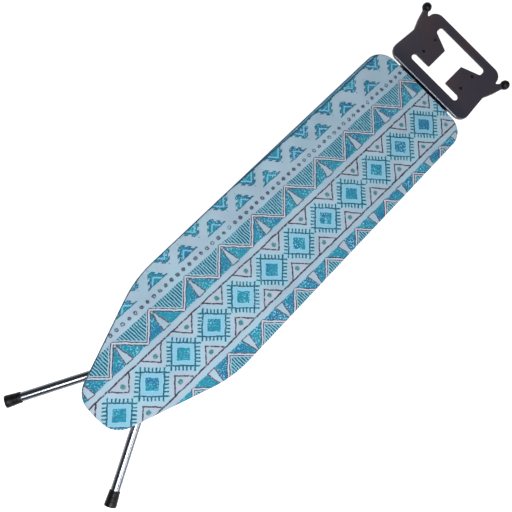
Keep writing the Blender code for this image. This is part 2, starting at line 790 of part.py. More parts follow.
def make_horn_ball(side, sign):
    """A soft ball pushed over the end of a horn, with a pocket that fits the horn."""
    bm = bmesh.new()
    bmesh.ops.create_uvsphere(bm, u_segments=20, v_segments=12, radius=BALL_RADIUS)
    ball = bmesh_object("horn_ball_" + side, bm)
    smooth(ball.data)
    ball.location = (BALL_X, sign * BALL_Y, PLATE_TOP - PLATE_RIM / 2)
    place(ball, "black_rubber")
    arm = Vector((-0.7520, 0.1551)) - Vector((-0.7060, 0.1420))
    low = (-0.020, -0.0098, -PLATE_RIM / 2 - GAP)
    high = (0.0065, 0.0098, PLATE_RIM / 2 + GAP)
    pocket = cutter(box("horn_pocket_" + side, low, high))
    turn = sign * math.atan2(arm.y, arm.x)
    pocket.rotation_euler = (0, 0, turn)
    middle = (low[0] + high[0]) / 2
    offset = Vector((math.cos(turn), math.sin(turn), 0)) * middle
    pocket.location = ball.location + offset
    combine(ball, pocket)


def make_board():
    make_cover()
    make_hem_elastic()
    deck_slab("felt_pad", DECK_TOP + GAP, PAD_TOP, DECK_INSET, "felt")
    deck_slab("deck_sheet", DECK_UNDER, DECK_TOP, DECK_INSET, "grey_enamel")
    make_rim()
    tail_brace = make_brace("cross_brace_tail", TAIL_BRACE_X, TAIL_BRACE_UNDER, 0.135)
    for sign in SIDES.values():
        centre = (TAIL_BRACE_X, sign * REST_SCREW_Y, TAIL_BRACE_UNDER)
        drill(tail_brace, centre, (0, 0, 1), BOLT_RADIUS + GAP, 0.006)
    make_brace("cross_brace_middle", 0.210, RIM_UNDER, 0.148)
    make_brace("cross_brace_nose", 0.565, RIM_UNDER, 0.070)
    make_rack()
    for side, sign in SIDES.items():
        make_hinge(side, sign)
        make_rail(side, sign)
    make_rest_plate()
    make_rest_fittings()


clear_scene()
make_finishes()
make_board()
make_outer_leg(joint_axis("outer_leg_axis", HINGE_X, PIVOT_Z))
make_inner_leg(joint_axis("inner_leg_axis", CENTRE_X, PIVOT_Z))
shoe_axis = joint_axis("shoe_axis", SLIDE_X, PIVOT_Z)
for shoe_side, shoe_sign in SIDES.items():
    make_shoe(shoe_side, shoe_sign, shoe_axis)
make_catch(joint_axis("catch_axis", SLIDE_X, PIVOT_Z))
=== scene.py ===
"""Looks of a folding ironing board with an iron rest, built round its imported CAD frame.

Metres, +Z up. +X runs along the board towards its rounded nose, and +Y is the left side
when looking that way. The folded board lies on Z = 0, and the floor is where the feet
stand once the legs are open.
"""

from math import atan2, ceil, copysign, cos, pi, radians, sin, sqrt, tan

import bmesh
import bpy
from mathutils import Matrix, Vector, noise


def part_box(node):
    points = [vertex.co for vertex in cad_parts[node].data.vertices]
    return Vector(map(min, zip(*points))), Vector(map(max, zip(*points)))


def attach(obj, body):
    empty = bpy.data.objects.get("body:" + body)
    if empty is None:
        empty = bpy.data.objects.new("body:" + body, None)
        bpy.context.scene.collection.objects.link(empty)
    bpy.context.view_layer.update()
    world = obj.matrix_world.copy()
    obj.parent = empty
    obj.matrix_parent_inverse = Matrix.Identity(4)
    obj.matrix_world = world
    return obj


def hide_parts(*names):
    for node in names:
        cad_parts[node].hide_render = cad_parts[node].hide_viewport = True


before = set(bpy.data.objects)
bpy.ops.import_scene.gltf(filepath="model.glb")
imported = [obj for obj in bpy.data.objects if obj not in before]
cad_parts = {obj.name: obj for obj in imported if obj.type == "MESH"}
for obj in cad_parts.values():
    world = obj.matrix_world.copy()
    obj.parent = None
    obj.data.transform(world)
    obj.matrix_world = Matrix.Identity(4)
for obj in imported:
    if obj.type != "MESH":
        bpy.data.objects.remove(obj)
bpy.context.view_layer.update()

SIDES = {"left": 1, "right": -1}
GAP = 0.0003

# Board outline and heights
HALF_WIDTH = 0.165
TAIL_X = -0.5564
SHOULDER_X = 0.3671
NOSE_X = 0.648
NOSE_HALF_WIDTH = 0.0609
TAIL_RADIUS = 0.055
SHOULDER_RADIUS = 0.3
NOSE_RADIUS = 0.055
NOSE_BULGE = 0.004
COVER_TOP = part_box("cover")[1].z
HEM_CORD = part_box("hem_elastic")
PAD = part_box("felt_pad")
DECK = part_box("deck_sheet")
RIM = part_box("rim_frame")
DECK_INSET = 0.0024
RIM_WIDTH = 0.01
# The middle line that inner rings of the cover and pad shrink to, as its two ends
SPINE = (TAIL_X + 0.13, NOSE_X - 0.1)

# Soft pieces
CLOTH = 0.0008
COVER_EDGE = 0.0048
SKIRT_CLEAR = 0.0005
FOLD_RADIUS = 0.0012
HEM_WIDTH = 0.0108
PUCKERS = 230
PUCKER_OUT = 0.0006
PUCKER_DROP = 0.0007
HEM_CORD_CLEAR = 0.0001
HEM_CORD_WAVER = 0.0003

# Deck mesh
NET_HALF = (0.01, 0.0052)
NET_OPEN = 0.66
NET_MARGIN = 0.0012
BORDER_WIDTH = 0.014
# Over the deck's underside
BORDER_HEIGHTS = (-0.0001, 0.0013)

# Camera and floor
CAMERA_TILT = radians(15)
CAMERA_TARGET_X = 0.1186
CAMERA_DISTANCE = 1.5
CAMERA_LENS = 42.8
FLOOR_SIZE = 60
# Just under the feet, once the legs are fully open.
FLOOR_Z = -0.8095

# Legs
TUBE_RADIUS = 0.011
TUBE_WALL = 0.0012
TUBE_SIDES = 56
CAP_RADIUS = 0.0145
CAP_LENGTH = 0.036
CAP_FLOOR = 0.005
PIVOT_Z = CAP_RADIUS
HINGE_X = 0.507
ARM = 0.396
CENTRE_X = HINGE_X - ARM
SLIDE_X = HINGE_X - 2 * ARM
TUBE_STUB = 0.016
OUTER_Y = 0.075
OUTER_BEND_X = -0.365
INNER_Y = 0.033
INNER_FOOT = (0.7628, 0.1667)
OUTER_FOOT = (HINGE_X - (INNER_FOOT[0] - SLIDE_X), 0.13)
FLARE_MEETS_AXIS_X = 0.4459
BEND_RADIUS = 0.06
SPREADER_RADIUS = 0.008
SPREADERS = {
    "outer_leg_spreader": (-0.345, OUTER_Y, "outer_leg"),
    "inner_leg_spreader_upper": (-0.04, INNER_Y, "inner_leg"),
    "inner_leg_spreader_lower": (0.4, INNER_Y, "inner_leg"),
}
AXLE_RADIUS = 0.004
BOLT_RADIUS = 0.003
BRACKET_HALF = 0.0145
GRIP_END = 0.004
GRIP_RIB = 0.0004
GRIP_RIB_PITCH = 0.0036

# Iron rest
PLATE_TOP = 0.056
PLATE_THICKNESS = 0.0015
PLATE_RIM = 0.009
PLATE_BEND = 0.003
HOLE_BEND = 0.0016
HOLE_FLANGE = 0.0032
PLATE_NEAR_X = -0.5644
PLATE_FAR_X = -0.7694
TONGUE_HALF_WIDTH = 0.092
TONGUE_END_X = -0.478
TONGUE_Z = 0.0277
TONGUE_BEND = 0.0035
REST_PAD_X = {"near": -0.641, "far": -0.694}
REST_PAD_Y = 0.073
REST_SCREW = (-0.49, 0.05)
BALL_RADIUS = 0.0135
PARTING_LINE = 0.00015
NECK_FLATNESS = 0.56
BALL = (-0.756, 0.1565, PLATE_TOP - PLATE_RIM / 2)
# The way the horn points, from a point on its middle line to one near its end
HORN_TURN = atan2(0.1551 - 0.142, -0.752 + 0.706)

# Print on the cover. The rows run along the board, turned a little against it.
SLANT = 0.0305
MIDDLE_ROW = 0.055
MIDDLE_HALF = 0.057
SQUARE_PITCH = 0.0986
SQUARE_X = 0.608
SQUARE_HALF = 0.0385
SQUARE_BAR = 0.0272
SQUARE_RING = 0.02
SQUARE_CORE = 0.0152
TOOTH_PITCH = 0.0085
SIDE_TRIANGLE_TIP = 0.021
SIDE_TRIANGLE_SLOPE = 0.922
SIDE_TRIANGLE_COSINE = 0.735
SIDE_DOT = 0.0413
SIDE_DOT_RADIUS = 0.006
ZIGZAG_PITCH = 0.1143
ZIGZAG_X = 0.5083
ZIGZAG_REACH = 0.1312
ZIGZAG_DEPTH = 0.0582
ZIGZAG_BASE_HALF = 0.0117
THREAD_PITCH = 0.0064
WEDGE_SLOPE = 0.201
EDGE_TOOTH_PITCH = 0.013
INNER_TRIANGLES = {"x": 0.4317, "pitch": 0.0971, "t": -0.1095}
OUTER_TRIANGLES = {"x": 0.3817, "pitch": 0.0977, "t": -0.1615}
DOT_PITCH = 0.0192
DOT_ROW = -0.0923
DOT_RADIUS = 0.005
WIDE_LINE = 0.0019
THIN_LINE = 0.0017
DIAGONAL = 0.7071
WEAVE = 5200.0


# Shader helpers


class Value:
    """A number in a shader's node tree, so that patterns can be written as sums."""

    def __init__(self, nodes, socket):
        self.nodes = nodes
        self.socket = socket

    def __add__(self, other):
        return self.nodes.math("ADD", self, other)

    def __sub__(self, other):
        return self.nodes.math("SUBTRACT", self, other)

    def __rsub__(self, other):
        return self.nodes.math("SUBTRACT", other, self)

    def __mul__(self, other):
        return self.nodes.math("MULTIPLY", self, other)

    def __truediv__(self, other):
        return self.nodes.math("DIVIDE", self, other)

    def __abs__(self):
        return self.nodes.math("ABSOLUTE", self)


def smallest(first, *others):
    """The smallest of some values, of which the first is a Value."""
    for other in others:
        first = first.nodes.math("MINIMUM", first, other)
    return first


def largest(first, *others):
    """The largest of some values, of which the first is a Value."""
    for other in others:
        first = first.nodes.math("MAXIMUM", first, other)
    return first


class Nodes:
    """The node tree of one material, over an attribute or else the object's coordinates."""

    def __init__(self, name, metallic=0.0, attribute=None, **constants):
        self.material = bpy.data.materials.new(name)
        self.material.use_nodes = True
        self.tree = self.material.node_tree
        self.shader = self.tree.nodes["Principled BSDF"]
        self.shader.inputs["Metallic"].default_value = metallic
        for socket, value in constants.items():
            self.shader.inputs[socket.replace("_", " ")].default_value = value
        if attribute:
            source = self.node("ShaderNodeAttribute", {"attribute_name": attribute}, {})
            self.place = source.outputs["Vector"]
        else:
            self.place = self.node("ShaderNodeTexCoord", {}, {}).outputs["Object"]

    def feed(self, socket, value):
        if isinstance(value, Value):
            self.tree.links.new(value.socket, socket)
        elif isinstance(value, bpy.types.NodeSocket):
            self.tree.links.new(value, socket)
        else:
            socket.default_value = value

    def node(self, kind, settings, inputs):
        made = self.tree.nodes.new(kind)
        for name, value in settings.items():
            setattr(made, name, value)
        for name, value in inputs.items():
            self.feed(made.inputs[name], value)
        return made

    def math(self, operation, *values, clamp=False):
        made = self.node("ShaderNodeMath", {"operation": operation, "use_clamp": clamp}, {})
        for socket, value in zip(made.inputs, values):
            self.feed(socket, value)
        return Value(self, made.outputs[0])

    def repeat(self, value, pitch):
        """The distance from the middle of the cell that value is in, with its sign."""
        return self.math("WRAP", value, pitch / 2, -pitch / 2)

    def ink(self, distance, soft=0.0006):
        """1 where the signed distance is below 0, with an edge this soft."""
        return self.math("MULTIPLY_ADD", distance, -1 / soft, 0.5, clamp=True)

    def colour(self, factor, low, high):
        mix = self.node("ShaderNodeMix", {"data_type": "RGBA"}, {0: factor})
        self.feed(mix.inputs[6], low)
        self.feed(mix.inputs[7], high)
        return mix.outputs[2]

    def vector(self, operation, *values):
        made = self.node("ShaderNodeVectorMath", {"operation": operation}, {})
        for socket, value in zip(made.inputs, values):
            self.feed(socket, value)
        return made.outputs[0]

    def noise(self, scale, detail=2.0, place=None, output=0):
        """A noise value, or with output=1 a noise colour."""
        inputs = {"Vector": place or self.place, "Scale": scale, "Detail": detail}
        made = self.node("ShaderNodeTexNoise", {}, inputs)
        if output:
            return made.outputs[1]
        return Value(self, made.outputs[0])

    def stretch(self, value, low, high):
        """0 at low, 1 at high."""
        return self.math("MULTIPLY_ADD", value, 1 / (high - low), -low / (high - low), clamp=True)

    def between(self, factor, low, high):
        return factor * (high - low) + low

    def parts(self, vector):
        made = self.node("ShaderNodeSeparateXYZ", {}, {0: vector})
        return [Value(self, socket) for socket in made.outputs]

    def bump(self, height, distance, strength=1.0):
        inputs = {"Height": height, "Distance": distance, "Strength": strength}
        made = self.node("ShaderNodeBump", {}, inputs)
        self.tree.links.new(made.outputs[0], self.shader.inputs["Normal"])

    def finish(self, colour, roughness):
        self.feed(self.shader.inputs["Base Color"], colour)
        self.feed(self.shader.inputs["Roughness"], roughness)
        return self.material


def srgb(red, green, blue):
    """A screen colour of 0 to 255 as the linear colour that a shader takes."""

    def linear(part):
        part /= 255
        return part / 12.92 if part <= 0.04045 else ((part + 0.055) / 1.055) ** 2.4

    return (linear(red), linear(green), linear(blue), 1.0)


# Materials

GROUND = srgb(164, 190, 207)
GROUND_DEEP = srgb(147, 175, 192)
GROUND_CYAN = srgb(146, 194, 208)
PALE_GREY = srgb(186, 196, 210)
TRIANGLE_GREY = srgb(170, 184, 200)
LIGHT_CYAN = srgb(130, 200, 220)
SPECK_CYAN = srgb(150, 216, 232)
PALE_CYAN = srgb(124, 186, 214)
TEAL = srgb(14, 134, 158)
TEAL_BLUE = srgb(14, 110, 150)
DARK_TEAL = srgb(10, 84, 108)
MAROON = srgb(56, 46, 64)
DOT_GREY = srgb(62, 66, 90)
DOT_GREEN = srgb(40, 122, 128)
EDGE_TEAL = srgb(76, 130, 154)
EDGE_BLUE = srgb(20, 104, 146)
# Painted shade for the rounding of the right edge
EDGE_SHADE = srgb(30, 62, 84)


class CottonPrint(Nodes):
    """Hand-drawn rows in blues and teals on a pale ground, worn through here and there."""

    def __init__(self):
        super().__init__("printed_cotton", attribute="cloth", Sheen_Weight=0.15, Sheen_Roughness=0.5)
        slow = self.noise(45.0, 1.0, output=1)
        fast = self.noise(330.0, 2.0, output=1)
        drawn = self.vector("MULTIPLY_ADD", slow, (0.0048, 0.0048, 0.0), self.place)
        drawn = self.vector("MULTIPLY_ADD", fast, (0.0022, 0.0022, 0.0), drawn)
        x, y, _ = self.parts(drawn)
        self.x = x - 0.0035
        self.t = self.x * SLANT + (y - 0.0035)
        patches = self.stretch(self.noise(19.0, 1.0), 0.38, 0.6)
        specks = self.stretch(self.noise(290.0, 3.0), 0.55, 0.61)
        self.speck = specks * self.between(patches, 0.25, 1.0)
        self.gaps = self.stretch(self.noise(170.0, 2.0), 0.56, 0.66)
        self.blot = self.noise(22.0, 2.0)
        self.worn = (self.noise(420.0, 2.0) - 0.5) * 0.006
        tint = self.stretch(self.noise(9.0), 0.35, 0.65)
        self.painted = self.colour(tint, GROUND_DEEP, GROUND)
        cloud = self.stretch(self.noise(15.0), 0.48, 0.7) * 0.6
        self.painted = self.colour(cloud, self.painted, GROUND_CYAN)
        fleck = self.noise(260.0) * 0.35
        self.painted = self.colour(fleck, self.painted, PALE_GREY)

    def paint(self, distance, colour, cover, soft=0.0006):
        """Lays a colour where the signed distance is below 0."""
        self.painted = self.colour(self.ink(distance, soft) * cover, self.painted, colour)

    def faded(self, full, worn):
        """How well a colour covers: full, but less in the specks."""
        return self.between(self.speck, full, worn)

    def broken(self, full, worn):
        """How well a line covers: full, but less in its gaps."""
        return self.between(self.gaps, full, worn)

    def mottled(self, low, high):
        """Two colours in large blots, with light specks."""
        fill = self.colour(self.stretch(self.blot, 0.42, 0.6), low, high)
        return self.colour(self.speck * 0.9, fill, SPECK_CYAN)

    def middle_row(self):
        """Toothed squares that stand on a corner, and small triangles with a dot between them."""
        up = self.t - MIDDLE_ROW
        off = abs(up)
        along = self.repeat(self.x - SQUARE_X, SQUARE_PITCH)
        first = abs(along + up) * DIAGONAL
        second = abs(along - up) * DIAGONAL
        far = largest(first, second)
        near = smallest(first, second)
        self.paint(far - SQUARE_HALF, LIGHT_CYAN, self.faded(0.6, 0.35), 0.004)
        bar_end = SQUARE_HALF + 0.001
        bars = smallest(
            largest(abs(first - SQUARE_BAR) - WIDE_LINE, second - bar_end),
            largest(abs(second - SQUARE_BAR) - WIDE_LINE, first - bar_end),
        )
        teeth = abs(self.repeat(near, TOOTH_PITCH)) - WIDE_LINE
        outside_bars = SQUARE_BAR - 0.001 - far
        teeth = largest(teeth, far - SQUARE_HALF, outside_bars, near - 0.0215)
        toothed = smallest(bars, teeth) + self.worn * 0.5
        self.paint(toothed, DARK_TEAL, self.faded(1.0, 0.5), 0.0008)
        self.paint(abs(far - SQUARE_RING) - 0.0032, PALE_CYAN, self.faded(0.9, 0.6))
        self.paint(far - SQUARE_CORE + self.worn * 0.6, self.mottled(TEAL, TEAL_BLUE), 1.0)

        inside = off - (MIDDLE_HALF - 0.0002)
        side = abs(self.repeat(self.x - SQUARE_X + SQUARE_PITCH / 2, SQUARE_PITCH))
        edge = (side - (off - SIDE_TRIANGLE_TIP) * SIDE_TRIANGLE_SLOPE) * SIDE_TRIANGLE_COSINE
        self.paint(largest(edge, inside), TRIANGLE_GREY, 0.9)
        line = largest(abs(edge + 0.0009) - THIN_LINE, inside)
        away = off - SIDE_DOT
        dot = self.math("SQRT", side * side + away * away) - SIDE_DOT_RADIUS
        self.paint(dot + self.worn, DOT_GREEN, self.faded(0.95, 0.4))
        border = abs(off - MIDDLE_HALF) - WIDE_LINE
        lines = smallest(line, border) + self.worn * 0.4
        self.paint(lines, MAROON, self.broken(1.0, 0.35))

    def zigzag_rows(self):
        """A zigzag row on each side of the middle row, hatched outside and solid inside."""
        high = ZIGZAG_REACH - abs(self.t - MIDDLE_ROW)
        along = abs(self.repeat(self.x - ZIGZAG_X, ZIGZAG_PITCH))
        edge = (high - along) * DIAGONAL
        off_row = 0.0 - smallest(high + 0.0005, ZIGZAG_DEPTH - high)
        hatched = largest(edge + 0.0068, off_row)
        self.paint(hatched, LIGHT_CYAN, 0.75)
        threads = abs(self.repeat(self.x, THREAD_PITCH)) - 0.0021
        self.paint(largest(threads, hatched), DARK_TEAL, self.faded(1.0, 0.35), 0.001)
        wedge = along - high * WEDGE_SLOPE
        solid = largest(0.0036 - edge, 0.0014 - wedge, off_row)
        self.paint(solid + self.worn, self.mottled(TEAL, TEAL_BLUE), 1.0)
        outline = largest(abs(wedge) - THIN_LINE, 0.01 - high, off_row)
        base = largest(abs(high - ZIGZAG_DEPTH) - 0.0014, along - ZIGZAG_BASE_HALF)
        outline = smallest(outline, base) + self.worn * 0.4
        self.paint(outline, MAROON, self.broken(0.9, 0.2))
        past_row = largest(0.0 - 0.003 - high, high - (ZIGZAG_DEPTH + 0.0018))
        self.paint(largest(abs(edge) - 0.0032, past_row), PALE_GREY, 1.0)
        dark = largest(abs(abs(edge) - 0.003) - 0.0012, past_row)
        self.paint(dark, MAROON, self.broken(1.0, 0.45))

    def toothed_triangle(self, along, height, half_width, tall):
        """Signed distance from a triangle that narrows to 0 at tall, with teeth on its sides."""
        slope = half_width / tall
        edge = (along - (tall - height) * slope) / sqrt(1 + slope * slope)
        teeth = abs(self.repeat(height, EDGE_TOOTH_PITCH)) - 0.0036
        cut = largest(edge - 0.0012, smallest(edge + 0.003, teeth))
        return largest(cut, 0.0 - height) + self.worn * 0.5

    def toothed_row(self, row, height, half_width, tall, vee_height):
        """Toothed triangles with a dark rim and a light V in each."""
        along = abs(self.repeat(self.x - row["x"], row["pitch"]))
        triangle = self.toothed_triangle(along, height, half_width, tall)
        self.paint(triangle, self.mottled(EDGE_BLUE, TEAL), 1.0, 0.0008)
        rim = largest(triangle, 0.0 - triangle - 0.0022)
        self.paint(rim, DARK_TEAL, self.faded(0.8, 0.3), 0.0008)
        vee = abs(along + height - vee_height) * DIAGONAL - THIN_LINE
        self.paint(largest(vee, triangle + 0.001, 0.002 - height), PALE_CYAN, 1.0)

    def edge_rows(self):
        """Two rows of toothed triangles along the right edge, and a row of dots beside them."""
        inner_height = INNER_TRIANGLES["t"] - self.t
        self.toothed_row(INNER_TRIANGLES, inner_height, 0.03, 0.035, 0.0165)

        bend = self.math("MINIMUM", self.x + 0.2, 0.0) * 0.028
        height = self.t - OUTER_TRIANGLES["t"] - bend
        self.paint(height, self.mottled(EDGE_TEAL, TEAL_BLUE), self.faded(0.85, 0.45), 0.002)
        self.toothed_row(OUTER_TRIANGLES, height, 0.032, 0.036, 0.02)
        border = abs(height + 0.001) - 0.002 + self.worn * 0.5
        self.paint(border, DARK_TEAL, self.broken(1.0, 0.6))

        along = self.repeat(self.x, DOT_PITCH)
        away = self.t - DOT_ROW
        centre = self.math("SQRT", along * along + away * away)
        hollow = self.stretch(self.noise(38.0, 1.0), 0.48, 0.6) * 0.0026
        dot = largest(centre - DOT_RADIUS, hollow - centre) + self.worn
        self.paint(dot, DOT_GREY, self.faded(0.95, 0.45))

    def edge_shade_line(self):
        """A thin dark line of painted shade on the rounding of the right edge, the side away from
        the lamps. The cloth's Z is 0 where the cloth turns down.
        """
        _, y, past_edge = self.parts(self.place)
        line = abs(past_edge + 0.0012) - WIDE_LINE + self.worn * 0.5
        line = largest(line, y + NOSE_HALF_WIDTH)
        self.paint(line, EDGE_SHADE, self.broken(0.9, 0.6))

    def printed(self):
        """The material, with all rows painted, the painted shade along the right edge and the
        weave's relief.
        """
        self.edge_rows()
        self.zigzag_rows()
        self.middle_row()
        self.edge_shade_line()
        across, up, _ = self.parts(self.place)
        warp = self.math("SINE", across * WEAVE)
        weft = self.math("SINE", up * WEAVE)
        self.bump(warp * weft * 0.5 + self.noise(900.0) * 0.6, 0.00012, 0.7)
        return self.finish(self.painted, 0.88)


def felt():
    nodes = Nodes("felt", Sheen_Weight=0.3)
    fibres = nodes.noise(900.0, 6.0)
    tuft = nodes.noise(160.0, 3.0)
    colour = nodes.colour(nodes.stretch(tuft, 0.3, 0.7), srgb(196, 190, 178), srgb(226, 222, 212))
    colour = nodes.colour(nodes.stretch(fibres, 0.62, 0.7), colour, srgb(150, 146, 140))
    nodes.bump(fibres + tuft, 0.0006, 0.8)
    return nodes.finish(colour, 0.95)


def elastic():
    nodes = Nodes("elastic")
    x, y, z = nodes.parts(nodes.place)
    braid = nodes.math("SINE", (x + y) * 1900.0 + z * 1500.0)
    weave = nodes.math("SINE", (x - y) * 1900.0 - z * 1500.0)
    strands = nodes.stretch(braid * weave, -0.8, 0.8)
    nodes.bump(strands, 0.0004, 0.9)
    return nodes.finish(nodes.colour(strands, srgb(168, 168, 164), srgb(232, 232, 226)), 0.8)


def grey_enamel():
    nodes = Nodes("grey_enamel", metallic=0.2, Coat_Weight=0.2, Coat_Roughness=0.3)
    cloud = nodes.noise(14.0, 4.0)
    grain = nodes.noise(700.0, 3.0)
    colour = nodes.colour(cloud, srgb(158, 161, 166), srgb(190, 193, 196))
    chips = nodes.stretch(nodes.noise(90.0, 6.0), 0.7, 0.73)
    colour = nodes.colour(chips, colour, srgb(112, 108, 104))
    nodes.bump(grain, 0.00015, 0.5)
    return nodes.finish(colour, nodes.between(grain, 0.36, 0.56))


def dark_powder_coat():
    nodes = Nodes("dark_powder_coat", Coat_Weight=0.6, Coat_Roughness=0.16)
    pebbles = nodes.noise(1300.0, 2.0)
    cloud = nodes.noise(12.0, 3.0)
    colour = nodes.colour(nodes.stretch(cloud, 0.35, 0.65), srgb(54, 52, 64), srgb(66, 54, 60))
    colour = nodes.colour(nodes.stretch(pebbles, 0.6, 0.7) * 0.3, colour, srgb(92, 86, 94))
    x, _, z = nodes.parts(nodes.place)
    # Painted shade: the strip of the plate nearest the board, with its tongue, is darker and bluer
    near = nodes.stretch(x, PLATE_NEAR_X - 0.05, PLATE_NEAR_X - 0.01)
    colour = nodes.colour(near * 0.7, colour, srgb(36, 42, 58))
    # Painted shade: below the bend, by the board, the flange and tongue are nearly black
    flange = nodes.ink(z - PLATE_TOP + PLATE_BEND, 0.002)
    colour = nodes.colour(flange * near, colour, srgb(12, 14, 34))
    # Painted highlight: a thin light line along the rolled near edge of the plate
    painted_edge_highlight = largest(abs(x - PLATE_NEAR_X + 0.0012) - 0.0008, PLATE_TOP - 0.002 - z)
    colour = nodes.colour(nodes.ink(painted_edge_highlight) * 0.8, colour, srgb(196, 200, 210))
    nodes.bump(pebbles, 0.00025, 0.55)
    return nodes.finish(colour, nodes.between(pebbles, 0.34, 0.52))


def chrome_tube():
    nodes = Nodes("chrome_tube", metallic=1.0)
    stretched = nodes.vector("MULTIPLY", nodes.place, (30.0, 900.0, 900.0))
    scratches = nodes.noise(1.0, 3.0, stretched)
    haze = nodes.noise(25.0, 4.0)
    colour = nodes.colour(nodes.stretch(haze, 0.4, 0.7), srgb(140, 144, 150), srgb(120, 125, 132))
    roughness = nodes.between(nodes.stretch(scratches, 0.3, 0.8), 0.19, 0.27)
    nodes.bump(scratches, 0.00001, 0.3)
    return nodes.finish(colour, roughness)


def zinc_steel():
    nodes = Nodes("zinc_steel", metallic=1.0)
    spangle = nodes.node("ShaderNodeTexVoronoi", {}, {"Vector": nodes.place, "Scale": 260.0})
    spangle = Value(nodes, spangle.outputs["Distance"])
    streaks = nodes.noise(1.0, 3.0, nodes.vector("MULTIPLY", nodes.place, (60.0, 700.0, 700.0)))
    tint = nodes.colour(nodes.noise(30.0, 3.0), srgb(186, 188, 190), srgb(204, 200, 184))
    colour = nodes.colour(nodes.stretch(spangle, 0.1, 0.7) * 0.25, tint, srgb(150, 152, 156))
    nodes.bump(streaks + spangle, 0.00006, 0.4)
    return nodes.finish(colour, nodes.between(streaks, 0.22, 0.48))


def moulded(name, low, high, roughness, grain_scale, depth):
    """A moulded black finish: fine grain, with a few paler scuffs."""
    nodes = Nodes(name, Specular_IOR_Level=0.25)
    grain = nodes.noise(grain_scale, 3.0)
    scuffs = nodes.stretch(nodes.noise(130.0, 5.0), 0.6, 0.72)
    colour = nodes.colour(grain, low, high)
    colour = nodes.colour(scuffs * 0.35, colour, srgb(74, 74, 78))
    nodes.bump(grain, depth, 0.6)
    return nodes.finish(colour, nodes.between(grain, roughness - 0.1, roughness + 0.1))


def floor_paint():
    nodes = Nodes("floor_paint")
    cloud = nodes.noise(1.2, 3.0)
    colour = nodes.colour(cloud, srgb(247, 247, 248), srgb(251, 251, 251))
    nodes.shader.inputs["Emission Color"].default_value = (1.0, 1.0, 1.0, 1.0)
    nodes.shader.inputs["Emission Strength"].default_value = 0.75
    return nodes.finish(colour, 0.9)


FINISHES = {
    "printed_cotton": CottonPrint().printed(),
    "felt": felt(),
    "elastic": elastic(),
    "grey_enamel": grey_enamel(),
    "dark_powder_coat": dark_powder_coat(),
    "chrome_tube": chrome_tube(),
    "zinc_steel": zinc_steel(),
    "black_rubber": moulded(
        "black_rubber", srgb(4, 5, 9), srgb(12, 13, 19), 0.42, 900.0, 0.00015
    ),
    "black_plastic": moulded(
        "black_plastic", srgb(22, 22, 25), srgb(38, 38, 42), 0.4, 1400.0, 0.0001
    ),
}


# Shape helpers


def new_object(name, data):
    """An object in the scene."""
    obj = bpy.data.objects.new(name, data)
    bpy.context.scene.collection.objects.link(obj)
    return obj


def mesh_of(bm, name):
    """The mesh that a bmesh holds."""
    mesh = bpy.data.meshes.new(name)
    bm.to_mesh(mesh)
    bm.free()
    return mesh


def add_piece(name, mesh, finish, body, node, sharp=35):
    """Puts a mesh in the scene as the piece that stands for a CAD node."""
    mesh.materials.append(FINISHES[finish])
    mesh.shade_smooth()
    mesh.set_sharp_from_angle(angle=radians(sharp))
    obj = new_object(name, mesh)
    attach(obj, body)
    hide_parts(node)
    return obj


def welded(mesh):
    """The mesh with meeting points joined and its faces turned outwards."""
    bm = bmesh.new()
    bm.from_mesh(mesh)
    bmesh.ops.remove_doubles(bm, verts=bm.verts, dist=0.000002)
    bmesh.ops.dissolve_degenerate(bm, edges=bm.edges, dist=0.000001)
    bmesh.ops.recalc_face_normals(bm, faces=bm.faces)
    bm.to_mesh(mesh)
    bm.free()
    return mesh


def joined(meshes):
    """Several meshes as one."""
    bm = bmesh.new()
    for mesh in meshes:
        bm.from_mesh(mesh)
    return mesh_of(bm, "joined")


def skin(rings, ends=True, loop=False):
    """A mesh over rings of equally many points. A loop's last ring meets its first."""
    count = len(rings[0])
    pairs = list(zip(range(len(rings)), range(1, len(rings))))
    if loop:
        pairs.append((len(rings) - 1, 0))
    faces = []
    for low, high in pairs:
        here, there = low * count, high * count
        for index in range(count):
            after = (index + 1) % count
            faces.append((here + index, here + after, there + after, there + index))
    if ends and not loop:
        faces.append(tuple(range(count)))
        faces.append(tuple(range((len(rings) - 1) * count, len(rings) * count)))
    mesh = bpy.data.meshes.new("skin")
    mesh.from_pydata([tuple(point) for ring in rings for point in ring], [], faces)
    return mesh


def rounded(corners, inset=0.0, closed=True, step=radians(6)):
    """Points of a path of (x, y, radius) corners, each turned by an arc and moved left by inset.

    The number of points doesn't depend on inset."""
    count = len(corners)
    path = []
    for index, (x, y, radius) in enumerate(corners):
        here = Vector((x, y))
        if not closed and index in (0, count - 1):
            path.append(here)
            continue
        before = (here - Vector(corners[index - 1][:2])).normalized()
        after = (Vector(corners[(index + 1) % count][:2]) - here).normalized()
        turn = atan2(before.cross(after), before.dot(after))
        left = Vector((-before.y, before.x)) + Vector((-after.y, after.x))
        here = here + left * inset / (1 + before.dot(after))
        if radius == 0:
            path.append(here)
            continue
        radius = max(radius - copysign(inset, turn), 0.00001)
        side = copysign(1, turn)
        start = here - before * radius * tan(abs(turn) / 2)
        centre = start + Vector((-before.y, before.x)) * radius * side
        steps = max(2, ceil(abs(turn) / step))
        for part in range(steps + 1):
            path.append(centre + Matrix.Rotation(turn * part / steps, 2) @ (start - centre))
    return path


def mirrored(half):
    """Both halves of an outline from its +Y half."""
    return half + [(x, -y, radius) for x, y, radius in reversed(half) if y > 0]


def evenly(path, count):
    """This many equal steps along an open path, with both ends."""
    lengths = [0.0]
    for start, end in zip(path, path[1:]):
        lengths.append(lengths[-1] + (end - start).length)
    points = []
    index = 0
    for step in range(count + 1):
        target = lengths[-1] * step / count
        while index < len(path) - 2 and lengths[index + 1] < target:
            index += 1
        span = lengths[index + 1] - lengths[index]
        points.append(path[index].lerp(path[index + 1], (target - lengths[index]) / span))
    return points


